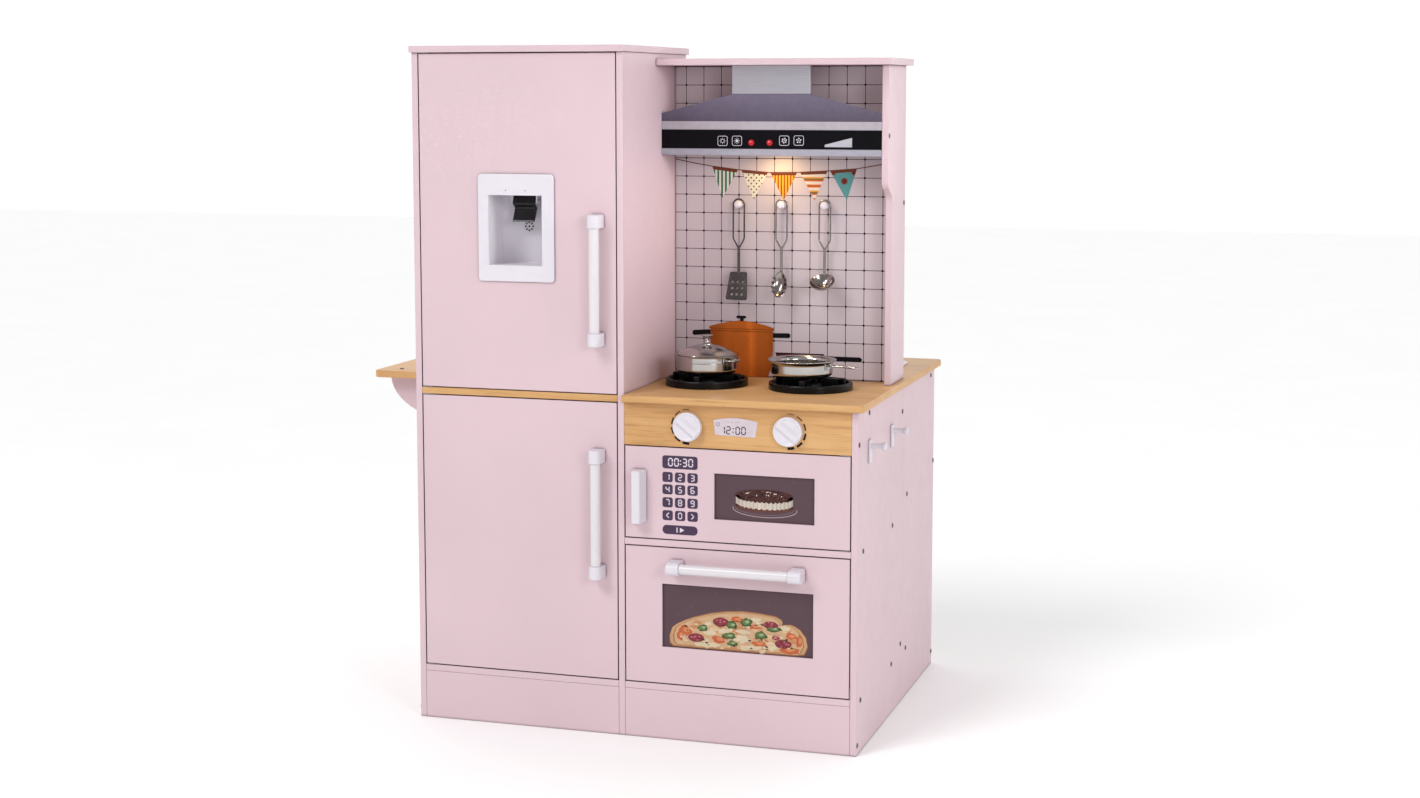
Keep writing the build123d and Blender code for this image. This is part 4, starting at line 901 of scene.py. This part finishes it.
wares = Print(SPLASH_D)
POT = [(395, 588), (395.6, 560), (398, 535), (404, 519.6), (489.5, 519.6), (495.5, 535), (497.9, 560),
       (498.3, 588), (497.6, 593.6), (395.8, 593.6)]
wares.strips(POT, shaded(392, 501, ORANGE, ((463, 0.5), (422, 0.16))), 0.16, 20)
wares.line([(396, 590.6), (497.5, 590.6)], 1.2, scaled(ORANGE, 0.55), 0.2)
LID = [(393.6, 597.3), (393.6, 593.3), (499.7, 593.3), (499.7, 596.8), (488, 600.6), (470, 604.8),
       (453, 607.2), (446.9, 607.6), (440, 607.2), (424, 604.8), (406, 600.8)]
wares.strips(LID, shaded(389, 504, ORANGE, ((460, 0.4), (425, 0.14))), 0.18, 20)
wares.line([(393.6, 594.2), (499.7, 594.2)], 0.9, scaled(ORANGE, 0.55), 0.22)
wares.add(rounded(438, 611, 454, 615.2, 2), INK_BLACK, 0.22)
wares.add(rect(444, 606.6, 450, 611.4), INK_BLACK, 0.2)
wares.add([(368.2, 582.2), (393.6, 584.4), (395.4, 584.4), (395.4, 592), (393.6, 592), (368, 590.2),
           (365.8, 588.4), (365.8, 584)], INK_BLACK, 0.22)
wares.add([(498, 582), (523.4, 582.4), (525.8, 584.4), (525.8, 588), (523.4, 590), (498, 589.4)],
          INK_BLACK, 0.22)
MAROON = rgb(92, 34, 46)
PAN = [(502.6, 556.2), (507, 538), (514, 519.6), (568, 519.6), (575, 538), (579.5, 556.2), (579.5, 558.8),
       (502.6, 558.8)]
wares.strips(PAN, shaded(498, 584, MAROON, ((550, 0.4),)), 0.16, 16)
wares.line([(502, 558.2), (580, 558.2)], 2.2, rgb(60, 22, 30), 0.2)
wares.add([(579, 550.4), (594, 549), (637, 548.6), (640.5, 551), (640.5, 554), (637, 556.2), (594, 556.2),
           (579, 557)], INK_BLACK, 0.2)
wares.done("ware_print", "cabinet")

# ---------------------------------------------------------------- printed film on the hood and the fascia
HOOD_D, HOOD_LEFT, HOOD_RIGHT = 178.0, 337.2, 683.8
hood = Print(HOOD_D)
SLOPE = [(HOOD_LEFT, 920), (HOOD_RIGHT, 920), (HOOD_RIGHT, 931.8), (573, 960.8), (450, 960.8),
         (HOOD_LEFT, 931.8)]
hood.strips(SLOPE, lambda u, v: scaled(rgb(104, 96, 114), 0.8 + 0.5 * (v - 920) / 41), 0.1, 1)
for low, high, ink in ((868.2, 878, rgb(170, 168, 180)), (878, 907, rgb(9, 7, 13)),
                       (907, 920, rgb(182, 174, 182))):
    hood.add(rect(HOOD_LEFT, low, HOOD_RIGHT, high), ink)
SEAM_INK = rgb(80, 76, 90)
for z, width, ink in ((878, 0.5, rgb(90, 88, 98)), (907, 0.5, rgb(90, 88, 98)), (920, 0.6, SEAM_INK)):
    hood.line([(HOOD_LEFT, z), (HOOD_RIGHT, z)], width, ink, 0.14)
hood.line([(450, 961), (573, 961)], 0.8, SEAM_INK, 0.14)

PALE = rgb(214, 210, 222)
SUN, LAMP, *FANS = (435.1, 890), (458, 890.2), (532.7, 890.9), (555.5, 891.2)
for s, z in (SUN, LAMP, *FANS):
    hood.ring(rounded(s - 7.5, z - 7.2, s + 7.5, z + 7.2, 2.6), 0.8, PALE, 0.16)
hood.ring(circle(*SUN, 2.7, steps=18), 0.8, PALE, 0.16)
hood.add(circle(*LAMP, 2.3, steps=18), PALE, 0.16)
for (s, z), start, reach in ((SUN, 3.6, 4.7), (LAMP, 3.1, 4.8)):
    for k in range(8):
        u, v = math.cos(math.pi * k / 4), math.sin(math.pi * k / 4)
        hood.line([(s + start * u, z + start * v), (s + reach * u, z + reach * v)], 0.7, PALE, 0.16)
for (s, z), petals in zip(FANS, (6, 5)):
    for k in range(petals):
        a = 2 * math.pi * k / petals + 0.3
        hood.add(circle(s + 3.1 * math.cos(a), z + 3.1 * math.sin(a), 1.2, steps=12), PALE, 0.16)
    hood.add(circle(s, z, 0.8, steps=12), PALE, 0.18)
RED = rgb(196, 44, 52)
for s in (480.6, 509.6):
    hood.add(circle(s, 887.6, 5, steps=28), rgb(110, 20, 28), 0.16)
    hood.add(circle(s, 887.6, 4.3, steps=28), RED, 0.18)
    hood.add(circle(s - 1.2, 889, 1.2, steps=14), rgb(238, 140, 140), 0.2)
hood.add([(596, 881.7), (638.2, 881.6), (638.2, 895.8), (596, 885)], rgb(190, 188, 196), 0.16)
hood.done("hood_print", "cabinet")

fascia = Print(0.0)
arch = [(475.9 + 67.5 * t, 487 + 4.3 * math.sin(math.pi * t) - 0.4 * t) for t in [i / 12 for i in range(13)]]
clock = [(478.4, 465.1), (539.8, 463.4), *arch[::-1]]
fascia.add(clock, rgb(214, 202, 210))
fascia.ring(clock, 0.4, rgb(190, 170, 170), 0.12)
DIGIT = rgb(60, 40, 48)
for sign, u in (("1", 487.5), ("2", 496.2), ("0", 510.4), ("0", 519.2)):
    fascia.digit(sign, u, 467.4, 5.4, 10.6, 1.6, DIGIT)
for z in (470.2, 475.4):
    fascia.add(circle(506.2, z, 1.0, steps=12), DIGIT, 0.14)
fascia.ring(circle(483, 481.2, 2.6, steps=16), 0.8, rgb(130, 104, 112), 0.14)
for u in (498, 503, 509, 514):
    fascia.line([(u, 484.6), (u + 3, 484.5)], 0.8, rgb(176, 152, 156), 0.14)
DASH_INK = rgb(34, 24, 28)
for centre, side in ((437.0, -1), (590.0, 1)):
    for i in range(6):
        turn, half = 82 - 32.8 * i, 0.5 + 0.3 * i
        outer = arc(0, 0, 25.4 + half, turn - 11.5, turn + 11.5, 5)
        inner = arc(0, 0, 25.4 - half, turn + 11.5, turn - 11.5, 5)
        shape = [(centre + side * u, 475.5 + v) for u, v in outer + inner]
        fascia.add(shape[::side], DASH_INK)
fascia.done("fascia_print", "cabinet")

# ---------------------------------------------------------------- marks on the dispenser
dots = Print((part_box("dispenser_housing")[0].y - ORIGIN.y) / MM)
for s in (152.0, 183.4):
    dots.add(circle(s, 818.4, 0.95, steps=14), rgb(120, 104, 112))
dots.d = 54.0  # the housing's back, behind the lever
GRILLE = (166.75, 761.75)
for s, z in [GRILLE, *circle(*GRILLE, 6.0, steps=8)]:
    dots.add(circle(s, z, 1.4, steps=16), INK_BLACK)
dots.done("dispenser_print", "fridge_door")

# ---------------------------------------------------------------- printed film on the doors
keys = Print(0.0)
KEY, WHITE_INK = rgb(80, 64, 86), rgb(232, 222, 232)
KEYS_LEFT, KEYS_RIGHT = 396.9, 451.6
keys.add(rounded(KEYS_LEFT, 411.2, KEYS_RIGHT, 430.8, 4), KEY)
for sign, u in (("0", 406.6), ("0", 416), ("3", 428.6), ("0", 438)):
    keys.digit(sign, u, 415.6, 5.8, 10.8, 1.7, WHITE_INK)
for z in (418.4, 423.6):
    keys.add(circle(425.2, z, 1.0, steps=12), WHITE_INK, 0.14)
for z, row in zip((398.5, 380, 360.5, 341), ("123", "456", "789", "<0>")):
    for u, sign in zip((KEYS_LEFT, 416.3, 435.7), row):
        keys.add(rounded(u, z - 7.5, u + 16.1, z + 7.5, 3.4), KEY)
        centre = u + 8.05
        if sign.isdigit():
            keys.digit(sign, centre - 2.5, z - 4.2, 5.0, 8.4, 1.5, WHITE_INK)
        else:
            tip = 2 if sign == ">" else -2
            arrow = [(centre - tip, z + 3.8), (centre + tip, z), (centre - tip, z - 3.8)]
            keys.line(arrow, 1.4, WHITE_INK, 0.14)
keys.add(rounded(KEYS_LEFT, 312.8, KEYS_RIGHT, 326.5, 6.6), KEY)
keys.line([(419.5, 323.4), (419.5, 315.9)], 1.6, WHITE_INK, 0.14)
keys.add([(424, 315.9), (431, 319.65), (424, 323.4)], WHITE_INK, 0.14)
keys.done("keypad_print", "microwave_door")

WINDOW_D = 4.0
cake = Print(WINDOW_D, rect(477.2, 339.2, 628.8, 407.3))
CAKE_S, CAKE_RADIUS = 552.5, 43.4
BASE_INK, CHOCOLATE = rgb(104, 66, 60), rgb(78, 50, 48)
cake.line(arc(553.4, 357.6, 48.5, 172, 368, 40, 11.9), 1.1, rgb(176, 156, 160))
cake.line(arc(552.8, 359.4, 44.5, 186, 354, 36, 10.4), 0.5, rgb(140, 116, 122))
cream = [*arc(CAKE_S, 361.4, 43.2, 180, 360, 20, 7.4), *arc(CAKE_S, 376.6, CAKE_RADIUS, 360, 180, 20, 8.6)]
cake.strips(cream, shaded(500, 606, rgb(196, 184, 172), ((545, 0.08),)), 0.16, 18)
for i in range(30):
    u = 510.5 + 84 * i / 29
    sag = 7.6 * math.sqrt(max(0, 1 - ((u - CAKE_S) / CAKE_RADIUS) ** 2))
    cake.line([(u, 375 - sag), (u + dice.random() - 0.5, 363.5 - sag * 0.86)], 0.35 + 0.5 * dice.random(),
              rgb(164, 148, 136) if i % 2 else rgb(214, 204, 194), 0.2)
cake.add([*arc(CAKE_S, 360.6, 43.6, 180, 360, 20, 7.6), *arc(CAKE_S, 363.6, 43.2, 360, 180, 20, 7.0)],
         BASE_INK, 0.22)
for u, v in arc(CAKE_S, 363.2, 43, 186, 354, 15, 7.2):
    cake.add(circle(u, v, 2.4, 1.5 + dice.random(), 14), BASE_INK, 0.23)
cake.add(circle(CAKE_S, 378, CAKE_RADIUS, 8.9, steps=56), CHOCOLATE, 0.25)
for u, v in arc(CAKE_S, 377.2, 41.6, 184, 356, 18, 8.2):
    cake.add(circle(u, v, 3.0, 1.6 + 1.5 * dice.random(), 14), CHOCOLATE, 0.252)
CRUMBS = (rgb(54, 32, 32), rgb(112, 78, 70), rgb(38, 22, 24))
for i in range(70):
    a, r = 2 * math.pi * dice.random(), math.sqrt(dice.random())
    u, v = CAKE_S + 40 * r * math.cos(a), 378.6 + 7.4 * r * math.sin(a)
    lie, length = math.pi * dice.random(), 2.0 + 2.6 * dice.random()
    du, dv = length * math.cos(lie) / 2, length * math.sin(lie) / 3.4
    tone = rgb(226, 214, 206) if i % 4 == 0 and r < 0.75 else dice.choice(CRUMBS)
    cake.line([(u - du, v - dv), (u + du, v + dv)], 1.2, tone, 0.28 + 0.002 * i)
cake.done("cake_print", "microwave_door")

pizza = Print(WINDOW_D, rect(396.2, 141.2, 627.8, 236.8))
CRUST = [(411.4, 142.4), (406.6, 147.5), (405.9, 158.5), (410.1, 171.1), (417.9, 177.4), (430, 183.6),
         (443.7, 189.2), (469.3, 197), (494.8, 201.8), (520.2, 203.6), (545.5, 202.4), (570.7, 199.4),
         (579.5, 195), (581.6, 190.4), (579, 187), (586, 188), (593.2, 188.6), (601, 186), (608.2, 181.5),
         (616.9, 170.1), (619.6, 156), (614.4, 144.2), (600.7, 141.8)]


def shrunk(shape, k, lift=0.0):
    """A shape drawn in towards the pizza's middle, and moved up by lift."""
    return [(515 + (u - 515) * k, 166 + (v - 166) * (k - 0.05) + lift) for u, v in shape]


pizza.add(CRUST[::-1], rgb(158, 112, 80), 0.1)
pizza.add(shrunk(CRUST, 0.99, 0.4)[::-1], rgb(200, 158, 118), 0.13)
pizza.add(shrunk(CRUST, 0.945, 0.6)[::-1], rgb(166, 104, 70), 0.16)
pizza.add(shrunk(CRUST, 0.93, 0.8)[::-1], rgb(206, 170, 132), 0.19)
SALAMI, FAT, GREEN, LEAF = rgb(142, 62, 74), rgb(206, 138, 136), rgb(106, 124, 78), rgb(70, 96, 62)
TOMATO, CHEESE, OLIVE = rgb(194, 102, 68), rgb(216, 198, 168), rgb(60, 46, 48)
lifts = [0.2]  # how far the last topping stands off the pane


def topping(u, v, ru, rv, ink, wobble=0.3):
    """One more piece of topping, on top of those before it."""
    lifts[0] += 0.0012
    pizza.add(circle(u, v, ru, rv, 16, 2 * math.pi * dice.random(), wobble), ink, lifts[0])


def scatter(count, sizes, inks):
    """Small bits strewn over the cheese."""
    for _ in range(count):
        a, r = 2 * math.pi * dice.random(), math.sqrt(dice.random())
        size = sizes[0] + (sizes[1] - sizes[0]) * dice.random()
        u, v = 513 + 94 * r * math.cos(a), 166 + 27 * r * math.sin(a)
        topping(u, v, size, size * 0.55, dice.choice(inks), 0.6)


SAUCE = ((431, 168, 10, 7), (483, 158, 10, 5.5), (545, 156, 11, 4), (595, 171, 9, 5), (511, 190, 9, 4),
         (592, 149.5, 15, 4.5), (538, 181, 8, 4), (423, 160, 5, 8), (606, 164, 4.5, 9))
MELTED = ((469, 167, 11, 3.6), (520, 172, 10, 3.2), (518, 162, 13, 4.6), (474, 149, 11, 3.6),
          (533, 149, 15, 3.2), (455, 148, 11, 3.2), (562, 151, 11, 3), (538, 192, 10, 2.8), (586, 182, 8, 4),
          (490, 171, 8, 3.6))
SLICES = ((486, 184.5, 12.5, 7), (563, 185.5, 11, 5.6), (448, 158, 12.5, 6.6), (582, 158.5, 12.8, 6.6),
          (571, 167, 6, 3.4))
PEPPERS = ((458, 173.6, 9, 5), (503.7, 181, 9, 6), (526, 187, 9.5, 6.6), (547, 169, 10.5, 6),
           (499, 164.5, 10.5, 5), (504, 153.5, 8, 4), (568, 179, 12, 3.4))
scatter(90, (2.5, 6.5), (CHEESE, rgb(222, 186, 146), rgb(196, 140, 98), rgb(200, 160, 132)))
for u, v, ru, rv in SAUCE:
    topping(u, v, ru, rv, TOMATO, 0.5)
    topping(u + 1.5, v + 0.8, ru * 0.5, rv * 0.5, rgb(214, 140, 96), 0.5)
for u, v, ru, rv in MELTED:
    topping(u, v, ru, rv, CHEESE, 0.5)
for u, v, ru, rv in SLICES:
    topping(u, v, ru, rv, scaled(SALAMI, 0.55), 0.1)
    topping(u, v + 0.7, ru * 0.92, rv * 0.88, SALAMI, 0.1)
    for _ in range(12):
        a, r = 2 * math.pi * dice.random(), 0.8 * math.sqrt(dice.random())
        speck = dice.choice((FAT, scaled(SALAMI, 0.6)))
        topping(u + ru * r * math.cos(a), v + rv * r * math.sin(a), 1.3, 0.8, speck)
for u, v, ru, rv in PEPPERS:
    topping(u, v, ru, rv, LEAF, 0.5)
    topping(u - 0.6, v + 0.6, ru * 0.72, rv * 0.66, GREEN, 0.5)
    topping(u + 1.4, v + 1, ru * 0.34, rv * 0.3, rgb(160, 174, 132), 0.5)
scatter(40, (1.2, 2.4), (OLIVE, OLIVE, CHEESE, LEAF, TOMATO))
pizza.done("pizza_print", "oven_door")

# ---------------------------------------------------------------- camera, floor and light
camera_data = bpy.data.cameras.new("camera")
camera_data.lens = 54.08
camera_data.sensor_width = 36.0
camera_data.shift_y = -0.05
camera_data.clip_start = 0.05
camera = added("camera", camera_data)
camera.location = (1.1041, -3.2129, 0.9634)
camera.rotation_euler = (math.radians(90 - 6.3), 0, math.radians(17.385))
bpy.context.scene.camera = camera

floor_bm = bmesh.new()
bmesh.ops.create_grid(floor_bm, x_segments=2, y_segments=2, size=12)
floor_mesh = bpy.data.meshes.new("floor")
floor_bm.to_mesh(floor_mesh)
floor_bm.free()
floor = added("floor", floor_mesh)
paper = Look("floor_paper", Roughness=0.9)
paper.colour(paper.ramp(paper.noise(3.0), (0.3, rgb(252, 252, 252)), (0.7, rgb(254, 254, 254))))
floor_mesh.materials.append(paper.material)
floor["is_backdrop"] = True


def turned(direction):
    """The rotation that aims a light along a direction."""
    return Vector(direction).to_track_quat("-Z", "Y").to_euler()


def area_light(name, place, size, power, target=(0, 0, 0.5), spread=180):
    """A round soft light aimed at a target. spread is its beam in degrees."""
    data = bpy.data.lights.new(name, "AREA")
    data.shape = "DISK"
    data.size = size
    data.energy = power
    data.spread = math.radians(spread)
    light = added(name, data)
    light.location = place
    light.rotation_euler = turned(Vector(target) - Vector(place))


sun = bpy.data.lights.new("sun", "SUN")
sun.energy = 0.9
sun.angle = math.radians(20)
added("sun", sun).rotation_euler = turned((0.52, 0.95, -1.15))
area_light("key", (-1.5, -2.3, 2.3), 0.7, 16)
area_light("fill", (2.4, -2.6, 1.5), 1.0, 26)
area_light("niche", (1.5, -0.6, 1.15), 0.4, 0.2, (0.0, -0.13, 0.8), 20)
glow = bpy.data.lights.new("hood_glow", "AREA")
glow.size = 0.02
glow.energy = 0.1
glow.color = (1.0, 0.68, 0.26)
lamp = middle("hood_lamp")
added("hood_glow", glow).location = (lamp.x, lamp.y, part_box("hood_lamp")[0].z - 0.004)

world = bpy.data.worlds.new("studio")
world.use_nodes = True
sky = world.node_tree
direction = sky.nodes.new("ShaderNodeTexCoord")
height = sky.nodes.new("ShaderNodeSeparateXYZ")
sky.links.new(direction.outputs["Generated"], height.inputs[0])


def sky_range(source, start, end, low, high):
    """A node that maps start to end onto low to high, and stays level outside."""
    made = sky.nodes.new("ShaderNodeMapRange")
    set_inputs(made, From_Min=start, From_Max=end, To_Min=low, To_Max=high)
    made.interpolation_type = "SMOOTHSTEP"
    sky.links.new(source, made.inputs["Value"])
    return made.outputs["Result"]


# The light from behind the camera is dimmer, but the backdrop that the camera sees is even.
strength = sky.nodes.new("ShaderNodeMath")
strength.operation = "MULTIPLY"
sky.links.new(sky_range(height.outputs["Z"], 0.25, 0.65, 1.25, 1.12), strength.inputs[0])
sky.links.new(sky_range(height.outputs["Y"], -0.45, 0.5, 0.36, 1.0), strength.inputs[1])
backdrop = sky.nodes.new("ShaderNodeMix")
rays = sky.nodes.new("ShaderNodeLightPath")
sky.links.new(rays.outputs["Is Camera Ray"], backdrop.inputs["Factor"])
sky.links.new(strength.outputs[0], backdrop.inputs["A"])
set_inputs(backdrop, B=1.05)
sky.links.new(backdrop.outputs["Result"], sky.nodes["Background"].inputs["Strength"])
set_inputs(sky.nodes["Background"], Color=CLEAR)
bpy.context.scene.world = world
bpy.context.scene.view_settings.view_transform = "Standard"

boxes = {"cad": (CAD_LOW, CAD_HIGH), "visual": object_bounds()}
{key: [[float(c) for c in corner] for corner in pair] for key, pair in boxes.items()}
